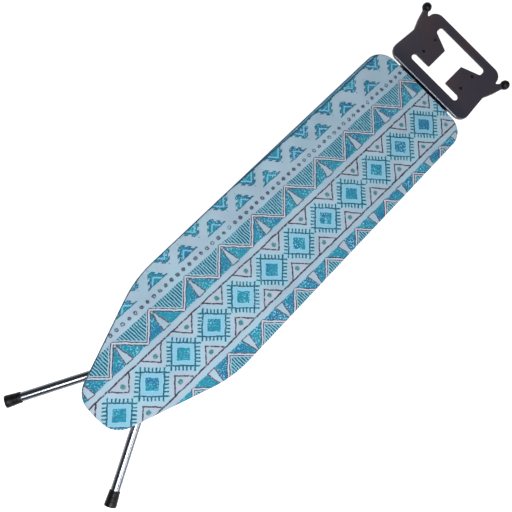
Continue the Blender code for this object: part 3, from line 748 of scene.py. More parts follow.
def board_half():
    """The +Y half of the board's outline, from the nose to the tail."""
    corners = [
        (NOSE_X, 0.0, SHOULDER_RADIUS), (NOSE_X - NOSE_BULGE, NOSE_HALF_WIDTH, NOSE_RADIUS),
        (SHOULDER_X, HALF_WIDTH, SHOULDER_RADIUS), (TAIL_X, HALF_WIDTH, TAIL_RADIUS),
    ]
    loop = rounded(mirrored(corners), step=radians(2))
    upper = [point for point in loop if point.y > 0.0001]
    nose = Vector((max(point.x for point in loop), 0.0))
    return [nose] + upper + [Vector((TAIL_X, 0.0))]


def board_ring(count):
    """Evenly spaced points round the board, each with the direction to its inside."""
    half = evenly(board_half(), count // 2)
    ring = half + [Vector((point.x, -point.y)) for point in reversed(half[1:-1])]
    inward = []
    for index in range(len(ring)):
        ahead = ring[(index + 1) % len(ring)] - ring[index - 1]
        inward.append(Vector((-ahead.y, ahead.x)).normalized())
    return ring, inward


def circle(radius, count):
    turns = [2 * pi * index / count for index in range(count)]
    return [Vector((radius * cos(turn), radius * sin(turn))) for turn in turns]


def turned(profile, centre, direction, steps=40, ripple=None):
    """A profile of (radius, height, corner) turned round direction, from one end to the other.

    Off the axis it closes on itself. ripple(angle, height) is added to the radius."""
    closed = profile[0][0] > 0
    line = rounded(profile, closed=closed, step=radians(18))
    rings = []
    for point in line:
        ring = []
        for index in range(steps):
            angle = 2 * pi * index / steps
            radius = point.x
            if ripple and radius > 0:
                radius += ripple(angle, point.y)
            ring.append(Vector((radius * cos(angle), radius * sin(angle), point.y)))
        rings.append(ring)
    mesh = skin(rings, ends=False, loop=closed)
    turn = Vector((0, 0, 1)).rotation_difference(Vector(direction)).to_matrix().to_4x4()
    mesh.transform(Matrix.Translation(centre) @ turn)
    return welded(mesh)


def carried(path, section, loop=False):
    """The rings of a section of (left, up) points that is carried along a flat path."""
    rings = []
    last = len(path) - 1
    for index, point in enumerate(path):
        before = path[index - 1] if index or loop else point
        after = path[(index + 1) % len(path)] if index < last or loop else point
        ahead = (after - before).normalized()
        left = Vector((-ahead.y, ahead.x, 0))
        rings.append([point + left * side + Vector((0, 0, up)) for side, up in section])
    return rings


def band(path, section):
    """One closed body: a section carried round a closed path."""
    return welded(skin(carried(path, section, loop=True), loop=True))


def level(points, z):
    return [Vector((point.x, point.y, z)) for point in points]


def soften(obj, width):
    """Rounds the sharp edges of a piece."""
    bevel = obj.modifiers.new("soften", "BEVEL")
    bevel.width = width
    bevel.segments = 2
    bevel.limit_method = "ANGLE"
    bevel.angle_limit = radians(35)
    bevel.harden_normals = True


def thicken(obj, thickness):
    """Gives a sheet its thickness, behind the face that it has."""
    wall = obj.modifiers.new("wall", "SOLIDIFY")
    wall.thickness = thickness
    wall.offset = -1


def face_up(mesh):
    """Turns all faces over if the highest one looks down."""
    lid = max(mesh.polygons, key=lambda face: (face.center.z, face.area))
    if lid.normal.z < 0:
        mesh.flip_normals()


def add_turned(
    style, name, profile, centre, direction, finish, body, steps=40, ripple=None, sharp=35
):
    """A turned piece for the CAD node of this name."""
    mesh = turned(profile, centre, direction, steps, ripple)
    add_piece(style + "_" + name, mesh, finish, body, name, sharp)


def hexagon(angle, across):
    """The radius at this angle of a hexagon that is this wide across its flats."""
    turn = (angle + pi / 6) % (pi / 3) - pi / 6
    return across / 2 / cos(turn)


# Cover, pad and deck


def moved_in(ring, inward, distance):
    return [point + into * distance for point, into in zip(ring, inward)]


def on_spine(point):
    """The nearest point of the board's middle line."""
    return Vector((min(max(point.x, SPINE[0]), SPINE[1]), 0.0))


def angles_round(ring):
    """How far round the ring each point lies, from 0 to 2 pi."""
    around = 0.0
    arcs = []
    for index, point in enumerate(ring):
        arcs.append(around)
        around += (ring[(index + 1) % len(ring)] - point).length
    return [2 * pi * arc / around for arc in arcs]


def cover_height(point):
    """The cloth's top, with slow waves and fine ones."""
    slow = noise.noise(Vector((point.x * 7, point.y * 9, 0.3))) * 0.0004
    fine = noise.noise(Vector((point.x * 38, point.y * 30, 4.1))) * 0.00012
    return COVER_TOP + slow + fine


def cover_side():
    """(inset, height, length of cloth past the outline, gather) of the rings below the top."""
    rows = []
    for part in range(1, 7):
        turn = pi / 2 * part / 6
        inset = COVER_EDGE * (1 - sin(turn))
        height = COVER_TOP - COVER_EDGE * (1 - cos(turn))
        rows.append((inset, height, COVER_EDGE * turn - COVER_EDGE, 0.0))
    low = RIM[0].z + SKIRT_CLEAR
    drop = COVER_TOP - COVER_EDGE - low
    # The arc is longer than its radius by 0.57 of it
    for part in range(1, 8):
        share = part / 7
        reach = COVER_EDGE * 0.57 + share * drop
        rows.append((0.0, COVER_TOP - COVER_EDGE - share * drop, reach, share * share))
    for part in range(1, 5):
        turn = pi / 2 * part / 4
        inset = FOLD_RADIUS * (1 - cos(turn))
        height = low - FOLD_RADIUS * sin(turn)
        rows.append((inset, height, reach + FOLD_RADIUS * turn, 1.0))
    reach = rows[-1][2]
    for part in range(1, 7):
        inset = FOLD_RADIUS + HEM_WIDTH * part / 6
        rows.append((inset, low - FOLD_RADIUS, reach + inset, 1.0))
    return rows


def make_cover():
    """Thin cloth over the pad, round its edge and gathered under the rim.

    Its attribute "cloth" is its place when flat, and as Z how far it lies past the outline.
    Inside the outline that Z only has to be well below 0."""
    ring, inward = board_ring(440)
    rings = []
    cloth = []
    steps = 36
    for step in range(steps + 1):
        share = step / steps
        row = []
        for point, into in zip(ring, inward):
            place = on_spine(point).lerp(point + into * COVER_EDGE, share)
            row.append(Vector((place.x, place.y, cover_height(place))))
        rings.append(row)
        cloth.append(level(row, -COVER_EDGE - (1 - share) * 0.1))
    angles = angles_round(ring)
    for inset, height, reach, gather in cover_side():
        row = []
        for point, into, angle in zip(ring, inward, angles):
            seed = Vector((cos(angle) * 19, sin(angle) * 19, height * 20))
            pucker = sin(angle * PUCKERS + 3 * noise.noise(seed)) * 0.5
            pucker += noise.noise(seed * 2.3)
            out = gather * pucker * PUCKER_OUT
            drop = gather * abs(pucker) * PUCKER_DROP if inset > FOLD_RADIUS else 0.0
            place = point + into * (inset + out)
            row.append(Vector((place.x, place.y, height - drop)))
        rings.append(row)
        cloth.append(level(moved_in(ring, inward, -reach), reach))

    mesh = skin(rings, ends=False)
    coordinate = mesh.attributes.new("cloth", "FLOAT_VECTOR", "POINT")
    flat = [part for row in cloth for point in row for part in point]
    coordinate.data.foreach_set("vector", flat)
    face_up(welded(mesh))
    cover = add_piece("cover_cloth", mesh, "printed_cotton", "board", "cover", 80)
    thicken(cover, CLOTH)

    cut = moved_in(ring, inward, -reach)
    area = 0.0
    for start, end in zip(cut, cut[1:] + cut[:1]):
        area += start.cross(end) / 2
    width = max(point.y for point in cut) * 2
    length = max(point.x for point in cut) - min(point.x for point in cut)
    return cover, (width, length), abs(area)


def make_hem_elastic():
    """The cord in the hem, with a slight waver."""
    ring, inward = board_ring(520)
    half = (HEM_CORD[1].z - HEM_CORD[0].z) / 2
    radius = half - HEM_CORD_CLEAR
    inset = HALF_WIDTH - HEM_CORD[1].y + half - radius
    path = []
    for index, (point, into) in enumerate(zip(ring, inward)):
        path.append(point + into * (inset + HEM_CORD_WAVER * sin(index * 1.3)))
    mesh = band(level(path, (HEM_CORD[0].z + HEM_CORD[1].z) / 2), circle(radius, 10))
    return add_piece("hem_cord", mesh, "elastic", "board", "hem_elastic", 60)


def make_pad():
    """The felt under the cover, a little soft at its edge."""
    ring, inward = board_ring(300)
    low, high = PAD[0].z, PAD[1].z
    spine = [on_spine(point) for point in ring]
    border = moved_in(ring, inward, DECK_INSET)

    def inner(share):
        return [middle.lerp(edge, share) for middle, edge in zip(spine, border)]

    rows = [(inner(0.1), low), (inner(0.6), low)]
    # (inset, height) round the edge, from the underside to the top
    for inset, height in [
        (0.003, low), (0.0006, low + 0.001), (0.0, (low + high) / 2), (0.0007, high - 0.0012),
        (0.0032, high),
    ]:
        rows.append((moved_in(ring, inward, DECK_INSET + inset), height))
    rows += [(inner(0.6), high), (inner(0.1), high)]

    rings = [level(spine, low)]
    for points, height in rows:
        row = []
        for point in points:
            wave = noise.noise(Vector((point.x * 40, point.y * 40, height * 9))) * 0.0002
            row.append(Vector((point.x, point.y, height - (0.0 if height == low else wave))))
        rings.append(row)
    rings.append(level(spine, high))
    mesh = welded(skin(rings, ends=False))
    return add_piece("felt_underlay", mesh, "felt", "board", "felt_pad", 60)


def within(x, y, outline):
    """Whether a point lies inside a closed outline."""
    inside = False
    for start, end in zip(outline, outline[1:] + outline[:1]):
        if (start.y > y) != (end.y > y):
            if x < start.x + (end.x - start.x) * (y - start.y) / (end.y - start.y):
                inside = not inside
    return inside


def make_net(outline):
    """A flat net of diamond strands inside the outline."""
    half_x, half_y = NET_HALF
    corners = [(half_x, 0.0), (0.0, half_y), (-half_x, 0.0), (0.0, -half_y)]
    bm = bmesh.new()
    rows = int(HALF_WIDTH / half_y)
    columns = int((NOSE_X - TAIL_X) / half_x)
    for row in range(-rows, rows + 1):
        for column in range(columns + 1):
            x = TAIL_X + column * half_x
            y = row * half_y
            if (row + column) % 2 or not all(within(x + dx, y + dy, outline) for dx, dy in corners):
                continue
            outer, hole = [
                [bm.verts.new((x + dx * size, y + dy * size, DECK[1].z)) for dx, dy in corners]
                for size in (1.0, NET_OPEN)
            ]
            for index in range(4):
                after = (index + 1) % 4
                bm.faces.new((outer[index], outer[after], hole[after], hole[index]))
    bmesh.ops.remove_doubles(bm, verts=bm.verts, dist=0.0001)
    return mesh_of(bm, "net")


def make_deck():
    """Expanded steel mesh with a folded border, as the pad's bed."""
    ring, inward = board_ring(300)
    net = new_object("net", make_net(moved_in(ring, inward, DECK_INSET + NET_MARGIN)))
    thicken(net, DECK[1].z - DECK[0].z)
    graph = bpy.context.evaluated_depsgraph_get()
    thick = bpy.data.meshes.new_from_object(net.evaluated_get(graph))
    bpy.data.objects.remove(net)

    low, high = BORDER_HEIGHTS
    border = [(0.0, low), (BORDER_WIDTH, low), (BORDER_WIDTH, high), (0.0, high)]
    path = level(moved_in(ring, inward, DECK_INSET), DECK[0].z)
    mesh = joined([thick, band(path, border)])
    add_piece("deck_mesh", mesh, "grey_enamel", "board", "deck_sheet", 30)


def make_rim():
    """The rolled steel frame that the deck is welded on."""
    ring, inward = board_ring(300)
    depth = RIM[1].z - RIM[0].z
    corners = [
        (0.0, 0.0, 0.0028), (RIM_WIDTH, 0.0, 0.0028), (RIM_WIDTH, depth, 0.0012),
        (0.0, depth, 0.0012),
    ]
    path = level(moved_in(ring, inward, DECK_INSET), RIM[0].z)
    mesh = band(path, rounded(corners, step=radians(18)))
    add_piece("rolled_rim", mesh, "grey_enamel", "board", "rim_frame")


# Legs


def leg_path(corners, sign):
    """Points along a bent tube. Its first straight stretch is cut in six."""
    points = rounded(corners, closed=False, step=radians(3))
    line = [Vector((point.x, sign * point.y, PIVOT_Z)) for point in points]
    return [line[0].lerp(line[1], share / 6) for share in range(6)] + line[1:]


def make_tube(name, corners, sign, body):
    """A bent tube with a wall, bright outside."""
    path = leg_path(corners, sign)
    outer = carried(path, circle(TUBE_RADIUS, TUBE_SIDES))
    inner = carried(path, circle(TUBE_RADIUS - TUBE_WALL, TUBE_SIDES))
    mesh = welded(skin(outer + inner[::-1], loop=True))
    add_piece("bright_" + name, mesh, "chrome_tube", body, name)


def make_foot_cap(name, end, direction, body):
    """A moulded cap with grip rings, a flared floor edge and a soft mouth lip."""
    bore = TUBE_RADIUS + GAP
    profile = [
        (0.0, CAP_FLOOR, 0), (bore, CAP_FLOOR, 0.0005), (bore, CAP_LENGTH, 0.0002),
        (TUBE_RADIUS + 0.0016, CAP_LENGTH, 0.0005),
        (TUBE_RADIUS + 0.0022, CAP_LENGTH - 0.0035, 0.0005),
        (TUBE_RADIUS + 0.0014, CAP_LENGTH - 0.0042, 0.0003),
    ]
    height = CAP_LENGTH - 0.006
    radius = TUBE_RADIUS + 0.0015
    for _ in range(4):
        radius += 0.00035
        profile.append((radius + 0.0002, height, 0.0004))
        profile.append((radius + 0.0002, height - 0.0026, 0.0004))
        profile.append((radius - 0.0005, height - 0.0032, 0.0003))
        profile.append((radius - 0.0005, height - 0.0038, 0.0003))
        height -= 0.0044
    profile += [
        (CAP_RADIUS - 0.0004, height - 0.001, 0.0008), (CAP_RADIUS, 0.006, 0.001),
        (CAP_RADIUS, 0.0, 0.0026), (0.009, 0.0, 0.0006), (0.0082, 0.001, 0.0004),
        (0.0, 0.001, 0),
    ]
    back = [-part for part in direction]
    add_turned("moulded", name, profile, end, back, "black_rubber", body, 56)


def make_end_plug(name, x, y, direction, body):
    """A ribbed plug with a low dome."""
    inner = TUBE_RADIUS - TUBE_WALL - GAP
    profile = [
        (0.0, 0.0024, 0), (0.007, 0.0022, 0.003), (TUBE_RADIUS, 0.0012, 0.0008),
        (TUBE_RADIUS, GAP, 0.0001), (inner - 0.0006, GAP, 0.0001), (inner, -0.002, 0.0003),
        (inner - 0.0006, -0.003, 0.0003), (inner, -0.0045, 0.0003),
        (inner - 0.001, -0.008, 0.0008), (0.0, -0.008, 0),
    ]
    add_turned("domed", name, profile, (x, y, PIVOT_Z), (direction, 0, 0), "black_plastic", body)


def weld_lumps(angle, height):
    """The unevenness of a weld bead."""
    return 0.0003 * sin(angle * 17 + height * 900) + 0.0002 * sin(angle * 5)


def make_spreader(name, x, tube_y, body):
    """A cross tube with a weld bead at each end."""
    reach = tube_y - TUBE_RADIUS - GAP
    bar = mirrored([(0.0, reach, 0), (SPREADER_RADIUS, reach, 0.0003)])[::-1]
    bead = [
        (SPREADER_RADIUS - 0.0004, reach - 0.0001, 0.0001),
        (SPREADER_RADIUS + 0.0016, reach - 0.0001, 0.0005),
        (SPREADER_RADIUS + 0.0006, reach - 0.002, 0.0007),
        (SPREADER_RADIUS - 0.0004, reach - 0.0028, 0.0002),
    ]
    centre = (x, 0, PIVOT_Z)
    meshes = [turned(bar, centre, (0, 1, 0), 48)]
    meshes += [turned(bead, centre, (0, sign, 0), 68, weld_lumps) for sign in SIDES.values()]
    add_piece("welded_" + name, joined(meshes), "chrome_tube", body, name)


def make_rod(piece, node, radius, reach, place, body):
    """A zinc-plated bar across the board with bevelled ends."""
    end = [(0.0, reach, 0), (radius - 0.0006, reach, 0.0001), (radius, reach - 0.0008, 0.0001)]
    mesh = turned(mirrored(end)[::-1], place, (0, 1, 0), 32)
    add_piece(piece, mesh, "zinc_steel", body, node)


def make_outer_leg():
    corners = [
        (HINGE_X + TUBE_STUB, OUTER_Y, 0), (OUTER_BEND_X, OUTER_Y, BEND_RADIUS),
        (*OUTER_FOOT, 0),
    ]
    make_leg("outer_leg", "outer_foot_cap_", corners, 1)
    near = INNER_Y + TUBE_RADIUS + GAP
    far = OUTER_Y - TUBE_RADIUS - GAP
    bore = AXLE_RADIUS + GAP
    spacer = [
        (bore, near, 0.0002), (0.009, near, 0.0006), (0.009, near + 0.0022, 0.0004),
        (0.0078, near + 0.0034, 0.0006), (0.0078, far - 0.0034, 0.0006),
        (0.009, far - 0.0022, 0.0004), (0.009, far, 0.0006), (bore, far, 0.0002),
    ]
    low = OUTER_Y + TUBE_RADIUS + GAP
    nut_radius = 0.0065
    nut = [
        (0.0, low + 0.0094, 0), (0.0036, low + 0.0088, 0.003), (0.0048, low + 0.0062, 0.001),
        (nut_radius, low + 0.0056, 0.0006), (nut_radius, low + 0.0008, 0.0002),
        (0.0072, low + 0.0006, 0.0002), (0.0072, low, 0.0002), (bore, low, 0.0001),
        (bore, low + 0.0055, 0.0001), (0.0, low + 0.006, 0),
    ]

    def flats(angle, height):
        """The bore is cut by them too, as it lies at the same heights."""
        if not low + 0.0007 < height < low + 0.006:
            return 0.0
        return hexagon(angle, 0.0112) - nut_radius

    centre = (CENTRE_X, 0, PIVOT_Z)
    for side, sign in SIDES.items():
        ahead = (0, sign, 0)
        spacer_name = "pivot_spacer_" + side
        add_turned("moulded", spacer_name, spacer, centre, ahead, "black_plastic", "outer_leg")
        nut_name = "axle_nut_" + side
        add_turned("domed", nut_name, nut, centre, ahead, "zinc_steel", "outer_leg", 48, flats, 25)
    make_rod("bevelled_axle", "centre_axle", AXLE_RADIUS, low + 0.0054, centre, "outer_leg")


def clip_teeth(angle, height):
    """Three notches in the clip's edges."""
    return -0.0007 if sin(angle * 3) > 0.9 else 0.0


def make_inner_leg():
    slope = INNER_FOOT[1] / (INNER_FOOT[0] - FLARE_MEETS_AXIS_X)
    corners = [
        (SLIDE_X - TUBE_STUB, INNER_Y, 0),
        (FLARE_MEETS_AXIS_X + INNER_Y / slope, INNER_Y, BEND_RADIUS), (*INNER_FOOT, 0),
    ]
    make_leg("inner_leg", "inner_foot_cap_", corners, -1)
    centre = (SLIDE_X, 0, PIVOT_Z)
    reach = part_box("slide_bar")[1].y
    make_rod("bevelled_slide_bar", "slide_bar", AXLE_RADIUS, reach, centre, "inner_leg")
    bore = AXLE_RADIUS + GAP
    for side, sign in SIDES.items():
        name = "slide_bar_clip_" + side
        low, high = sorted(abs(corner.y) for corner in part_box(name))
        washer = [
            (bore, low, 0.0001), (0.0075, low, 0.0004), (0.0072, high, 0.0005),
            (bore, high, 0.0001),
        ]
        ahead = (0, sign, 0)
        add_turned("toothed", name, washer, centre, ahead, "zinc_steel", "inner_leg", 60, clip_teeth)


def make_leg(leg, cap_name, corners, plug_direction):
    """Both tubes of a leg with their foot caps and top plugs, and its spreaders."""
    for side, sign in SIDES.items():
        bend, foot = Vector(corners[-2][:2]), Vector(corners[-1][:2])
        ahead = (foot - bend).normalized()
        tube_end = foot - ahead * (CAP_FLOOR + GAP)
        cut = corners[:-1] + [(tube_end.x, tube_end.y, 0)]
        make_tube(leg + "_tube_" + side, cut, sign, leg)
        end = (foot.x, sign * foot.y, PIVOT_Z)
        make_foot_cap(cap_name + side, end, (ahead.x, sign * ahead.y, 0), leg)
        top = corners[0]
        make_end_plug(leg + "_plug_" + side, top[0], sign * top[1], plug_direction, leg)
    for name, (x, tube_y, body) in SPREADERS.items():
        if body == leg:
            make_spreader(name, x, tube_y, body)


# Iron rest


def plate_outline():
    return mirrored(
        [
            (PLATE_NEAR_X, TONGUE_HALF_WIDTH, 0), (PLATE_NEAR_X, 0.143, 0.03),
            (-0.6725, 0.1364, 0.015), (-0.706, 0.1495, 0.04), (-0.75, 0.1615, 0.003),
            (-0.754, 0.1487, 0.003), (-0.7335, 0.1345, 0.0018), (PLATE_FAR_X, 0.1305, 0.029),
        ]
    )


def plate_opening():
    return mirrored(
        [
            (-0.5984, 0.087, 0.0094), (-0.6175, 0.087, 0.0094), (-0.6175, 0.0315, 0.004),
            (-0.693, 0.0315, 0.003), (-0.7178, 0.0865, 0.008), (-0.7395, 0.0865, 0.008),
        ]
    )


def strip(bm, rings):
    """Faces between rings of points, and the vertices of each ring."""
    made = [[bm.verts.new(point) for point in ring] for ring in rings]
    for low, high in zip(made, made[1:]):
        for index in range(len(low)):
            bm.faces.new((low[index - 1], low[index], high[index], high[index - 1]))
    return made


def extend(bm, edges, offset):
    """Extrudes the edges by the offset, and returns the new ones."""
    made = bmesh.ops.extrude_edge_only(bm, edges=edges)["geom"]
    verts = [item for item in made if isinstance(item, bmesh.types.BMVert)]
    bmesh.ops.translate(bm, vec=offset, verts=verts)
    return [item for item in made if isinstance(item, bmesh.types.BMEdge)]


def rolled_edge(outline, bend, outwards, steps, depth):
    """Rings round an edge of the plate, from its flat face over a bend to the flange's end.

    outwards is 1 if the flange lies outside the flat face, and -1 in an opening."""
    rings = []
    for part in range(steps + 1):
        turn = pi / 2 * part / steps
        inset = outwards * bend * (1 - sin(turn))
        rings.append(level(rounded(outline, inset), PLATE_TOP - bend * (1 - cos(turn))))
    return rings + [level(rounded(outline), PLATE_TOP - depth)]


def make_rest_plate():
    """One pressed sheet: a rolled outer edge, turned-in openings and a tongue under the tail."""
    bm = bmesh.new()
    outer = strip(bm, rolled_edge(plate_outline(), PLATE_BEND, 1, 6, PLATE_RIM))
    holes = strip(bm, rolled_edge(plate_opening(), HOLE_BEND, -1, 4, HOLE_FLANGE))
    bm.verts.index_update()
    fill = []
    for ring in (outer[0], holes[0]):
        for index in range(len(ring)):
            fill.append(bm.edges.get((ring[index - 1], ring[index])))
    bmesh.ops.triangle_fill(bm, edges=fill, use_beauty=True)

    low = PLATE_TOP - PLATE_RIM
    near = [
        edge
        for edge in bm.edges
        if all(
            abs(vert.co.z - low) < 1e-6
            and vert.co.x > PLATE_NEAR_X - 1e-5
            and abs(vert.co.y) < TONGUE_HALF_WIDTH + 1e-5
            for vert in edge.verts
        )
    ]
    drop = extend(bm, near, (0, 0, TONGUE_Z + TONGUE_BEND - low))
    for part in range(6):
        start, end = pi / 12 * part, pi / 12 * (part + 1)
        forward = TONGUE_BEND * (cos(start) - cos(end))
        down = TONGUE_BEND * (sin(end) - sin(start))
        drop = extend(bm, drop, (forward, 0, -down))
    extend(bm, drop, (TONGUE_END_X - PLATE_NEAR_X - TONGUE_BEND, 0, 0))
    bmesh.ops.remove_doubles(bm, verts=bm.verts, dist=0.000002)
    bmesh.ops.recalc_face_normals(bm, faces=bm.faces)
    mesh = mesh_of(bm, "plate")
    face_up(mesh)
    plate = add_piece("pressed_plate", mesh, "dark_powder_coat", "board", "iron_rest_plate", 30)
    thicken(plate, PLATE_THICKNESS)


def make_rest_fittings():
    under = PLATE_TOP - PLATE_THICKNESS
    stud = [
        (0.0, PLATE_TOP + 0.0022, 0), (0.0018, PLATE_TOP + 0.0022, 0.0012),
        (0.004, PLATE_TOP + 0.0015, 0.0014), (0.0046, PLATE_TOP + GAP, 0.0003),
        (0.0021, PLATE_TOP + GAP, 0.0001), (0.0021, under - 0.0004, 0.0001),
        (0.0028, under - 0.0008, 0.0003), (0.0018, under - 0.0016, 0.0004),
        (0.0, under - 0.0016, 0),
    ]
    for position, x in REST_PAD_X.items():
        for side, sign in SIDES.items():
            name = "rest_pad_%s_%s" % (position, side)
            place = (x, sign * REST_PAD_Y, 0)
            add_turned("domed", name, stud, place, (0, 0, 1), "black_rubber", "board", 32)
    for side, sign in SIDES.items():
        name = "rest_screw_" + side
        low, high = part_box(name)
        head = low.z + 0.0026
        screw = [
            (0.0, high.z, 0), (BOLT_RADIUS - 0.0006, high.z, 0.0002),
            (BOLT_RADIUS, high.z - 0.001, 0.0002), (BOLT_RADIUS, head, 0.0001),
            (0.0055, head, 0.0003), (0.005, low.z + 0.0006, 0.0014), (0.0022, low.z, 0.0005),
            (0.0014, low.z + 0.0014, 0.0002), (0.0, low.z + 0.0016, 0),
        ]
        place = (REST_SCREW[0], sign * REST_SCREW[1], 0)
        add_turned("panhead", name, screw, place, (0, 0, 1), "zinc_steel", "board", 36)
        make_horn_ball(side, sign)


def make_horn_ball(side, sign):
    """A soft ball with a parting line and a short neck over the horn."""
    rows = 24
    profile = [(0.0, -BALL_RADIUS, 0)]
    for part in range(1, rows):
        turn = -pi / 2 + pi * part / rows
        radius = BALL_RADIUS * cos(turn)
        if part == rows // 2:
            radius += PARTING_LINE
        profile.append((radius, BALL_RADIUS * sin(turn), 0))
    profile.append((0.0, BALL_RADIUS, 0))
    centre = (BALL[0], sign * BALL[1], BALL[2])
    ball = turned(profile, centre, (0, 0, 1), 56)
    neck = [
        (0.0, 0.008, 0), (0.0102, 0.008, 0.001), (0.0096, 0.015, 0.0012),
        (0.0082, 0.0158, 0.0006), (0.007, 0.013, 0.0005), (0.0, 0.013, 0),
    ]
    sleeve = turned(neck, (0, 0, 0), (0, 0, 1))
    sleeve.transform(Matrix.Diagonal((NECK_FLATNESS, 1.0, 1.0, 1.0)))
    back = Vector((-cos(HORN_TURN), -sign * sin(HORN_TURN), 0))
    turn = Vector((0, 0, 1)).rotation_difference(back).to_matrix().to_4x4()
    sleeve.transform(Matrix.Translation(centre) @ turn)
    name = "horn_ball_" + side
    add_piece("soft_" + name, joined([ball, sleeve]), "black_rubber", "board", name, 50)


# Hinges and catch


def make_hinge_fittings(side, sign):
    """The threaded bolt and the nut that hang one side of the outer leg."""
    centre = (HINGE_X, sign * OUTER_Y, PIVOT_Z)
    ahead = (0, sign, 0)
    head_face = BRACKET_HALF + GAP
    bolt_end = -BRACKET_HALF - 0.006
    head_radius = 0.0055
    head = [
        (0.0, head_face + 0.004, 0), (0.0046, head_face + 0.004, 0.0003),
        (head_radius, head_face + 0.0034, 0.0002), (head_radius, head_face + 0.0002, 0.0001),
        (0.005, head_face, 0.0001), (0.0, head_face, 0),
    ]
    shank = [
        (0.0, head_face + 0.001, 0), (BOLT_RADIUS, head_face + 0.001, 0),
        (BOLT_RADIUS, -BRACKET_HALF - 0.0005, 0),
    ]
    depth = -BRACKET_HALF - 0.001
    while depth > bolt_end + 0.0012:
        shank.append((BOLT_RADIUS, depth, 0))
        shank.append((BOLT_RADIUS - 0.0003, depth - 0.0004, 0))
        depth -= 0.0008
    shank += [(BOLT_RADIUS - 0.0006, bolt_end, 0), (0.0, bolt_end, 0)]

    def head_flats(angle, height):
        return min(0.0, hexagon(angle, 0.0098) - head_radius)

    meshes = [turned(head, centre, ahead, 48, head_flats), turned(shank, centre, ahead, 32)]
    name = "hinge_bolt_" + side
    add_piece("hex_" + name, joined(meshes), "zinc_steel", "board", name, 25)

    near = -BRACKET_HALF - GAP
    bore = BOLT_RADIUS + GAP
    nut_radius = 0.006
    nut = [
        (bore, near, 0.0001), (nut_radius, near, 0.0004), (nut_radius, near - 0.003, 0.0004),
        (0.0046, near - 0.0034, 0.0003), (0.0044, near - 0.0042, 0.0005),
        (bore, near - 0.0042, 0.0002),
    ]

    def nut_flats(angle, height):
        """Shallow flats below the nut's collar, which reach its bore a little."""
        if height < near - 0.0031:
            return 0.0
        return min(0.0, hexagon(angle, 0.0104) - nut_radius) * 0.9

    name = "hinge_nut_" + side
    add_turned("hex", name, nut, centre, ahead, "zinc_steel", "board", 48, nut_flats, 25)


def make_catch():
    """The pin with its two bevelled ends, the pressed lever and its ribbed grip."""
    low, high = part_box("catch_pin")
    radius = (high.z - low.z) / 2
    centre = ((low.x + high.x) / 2, 0, (low.z + high.z) / 2)
    make_rod("bevelled_catch_pin", "catch_pin", radius, high.y, centre, "height_catch")

    low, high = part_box("release_lever")
    outline = rounded([
        (low.x, low.y, 0.0005), (high.x, low.y, 0.006), (high.x, high.y, 0.006),
        (low.x, high.y, 0.0005),
    ])
    mesh = welded(skin([level(outline, low.z), level(outline, high.z)]))
    lever = add_piece("pressed_lever", mesh, "zinc_steel", "height_catch", "release_lever")
    soften(lever, 0.0004)

    make_grip(*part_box("lever_grip"))


def squared(part):
    """A sine or cosine pulled towards -1 and 1, which gives a ring flatter sides."""
    return copysign(abs(part) ** 0.5, part)


def make_grip(low, high):
    """A squarish handle with rounded ends and ribs round its middle."""
    middle = (low + high) / 2
    half = (high - low) / 2
    rings = []
    steps = 44
    for step in range(steps + 1):
        share = step / steps
        x = low.x + share * 2 * half.x
        end = min(share, 1 - share) * 2 * half.x
        rounding = sqrt(max(1 - (1 - end / GRIP_END) ** 2, 0.05)) if end <= GRIP_END else 1.0
        rib = GRIP_RIB * cos(share * 2 * half.x / GRIP_RIB_PITCH * 2 * pi)
        rib = rib if 0.15 < share < 0.85 else -GRIP_RIB
        ring = []
        for index in range(40):
            angle = 2 * pi * index / 40
            y = middle.y + squared(cos(angle)) * (half.y - GRIP_RIB + rib) * rounding
            z = middle.z + squared(sin(angle)) * (half.z - GRIP_RIB + rib) * rounding
            ring.append(Vector((x, y, z)))
        rings.append(ring)
    mesh = welded(skin(rings))
    add_piece("ribbed_grip", mesh, "black_plastic", "height_catch", "lever_grip", 50)


def finish_kept_nodes():
    """The CAD nodes whose shape is right get their finish, and softly rounded edges."""
    kept = {"height_rack": ("zinc_steel", 0.0004), "catch_block": ("black_plastic", 0.0008)}
    for place in ("tail", "middle", "nose"):
        kept["cross_brace_" + place] = ("grey_enamel", 0.0004)
    for side in SIDES:
        kept["hinge_bracket_" + side] = ("zinc_steel", 0.0005)
        kept["guide_rail_" + side] = ("zinc_steel", 0.0004)
        kept["slide_shoe_" + side] = ("black_plastic", 0.0005)
    for name, (finish, width) in kept.items():
        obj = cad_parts[name]
        obj.data.materials.clear()
        obj.data.materials.append(FINISHES[finish])
        weld = obj.modifiers.new("weld", "WELD")
        weld.merge_threshold = 0.00001
        soften(obj, width)


# Studio


def add_light(name, place, target, size, power, colour=(1.0, 1.0, 1.0)):
    data = bpy.data.lights.new(name, "AREA")
    data.shape = "RECTANGLE"
    data.size, data.size_y = size
    data.energy = power
    data.color = colour
    light = new_object(name, data)
    light.location = place
    light.rotation_euler = (Vector(target) - Vector(place)).to_track_quat("-Z", "Y").to_euler()


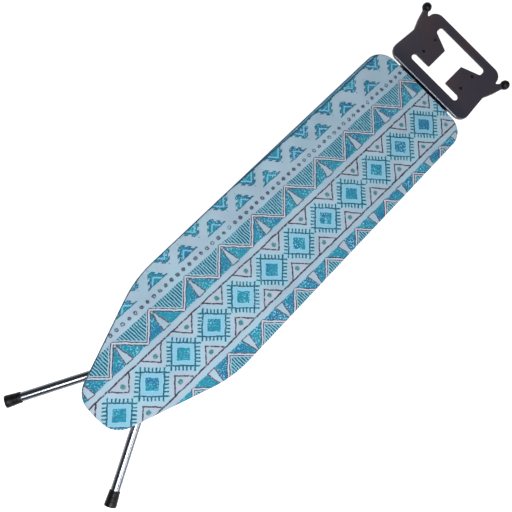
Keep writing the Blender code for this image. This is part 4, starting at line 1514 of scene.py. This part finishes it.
def make_world():
    """A dark sky over a bright horizon, which the chrome mirrors."""
    world = bpy.data.worlds.new("studio")
    world.use_nodes = True
    nodes, links = world.node_tree.nodes, world.node_tree.links
    place = nodes.new("ShaderNodeTexCoord")
    split = nodes.new("ShaderNodeSeparateXYZ")
    fade = nodes.new("ShaderNodeValToRGB")
    fade.color_ramp.interpolation = "EASE"
    horizon, sky = fade.color_ramp.elements
    horizon.position, sky.position = 0.0, 0.16
    horizon.color = (0.8, 0.82, 0.84, 1.0)
    sky.color = (0.08, 0.086, 0.094, 1.0)
    links.new(place.outputs["Generated"], split.inputs[0])
    links.new(split.outputs["Z"], fade.inputs[0])
    links.new(fade.outputs["Color"], nodes["Background"].inputs["Color"])
    bpy.context.scene.world = world


def make_studio():
    bpy.context.scene.view_settings.view_transform = "Standard"
    make_world()
    bpy.ops.mesh.primitive_plane_add(size=FLOOR_SIZE, location=(0, 0, FLOOR_Z))
    floor = bpy.context.object
    floor.name = "floor"
    floor.data.materials.append(floor_paint())

    add_light("overhead", (0.75, 0.5, 1.8), (0.35, 0, 0), (1.2, 0.8), 34)
    add_light("window", (0.2, 2.7, 1.7), (0, 0, 0), (2.6, 0.6), 38, (0.95, 0.97, 1.0))
    add_light("fill", (-2.0, -1.6, 1.8), (0, 0, 0), (1.6, 1.2), 10, (1.0, 0.98, 0.95))


def make_camera():
    """The board seen from above its nose, with the length of the board on the diagonal."""
    back = Vector((sin(CAMERA_TILT), 0, cos(CAMERA_TILT)))
    across = Vector((cos(CAMERA_TILT), 0, -sin(CAMERA_TILT)))
    side = Vector((0, 1, 0))
    right = (side - across).normalized()
    up = -(side + across).normalized()
    matrix = Matrix((right, up, back)).transposed().to_4x4()
    matrix.translation = Vector((CAMERA_TARGET_X, 0.0, COVER_TOP)) + back * CAMERA_DISTANCE
    camera = new_object("camera", bpy.data.cameras.new("camera"))
    camera.data.lens = CAMERA_LENS
    camera.data.sensor_width = 36.0
    camera.data.clip_end = 100.0
    camera.matrix_world = matrix
    bpy.context.scene.camera = camera


make_camera()
make_studio()
cover, flat_size, flat_area = make_cover()
cord = make_hem_elastic()
pad = make_pad()
make_deck()
make_rim()
make_outer_leg()
make_inner_leg()
make_rest_plate()
make_rest_fittings()
for hinge_side, hinge_sign in SIDES.items():
    make_hinge_fittings(hinge_side, hinge_sign)
make_catch()
finish_kept_nodes()
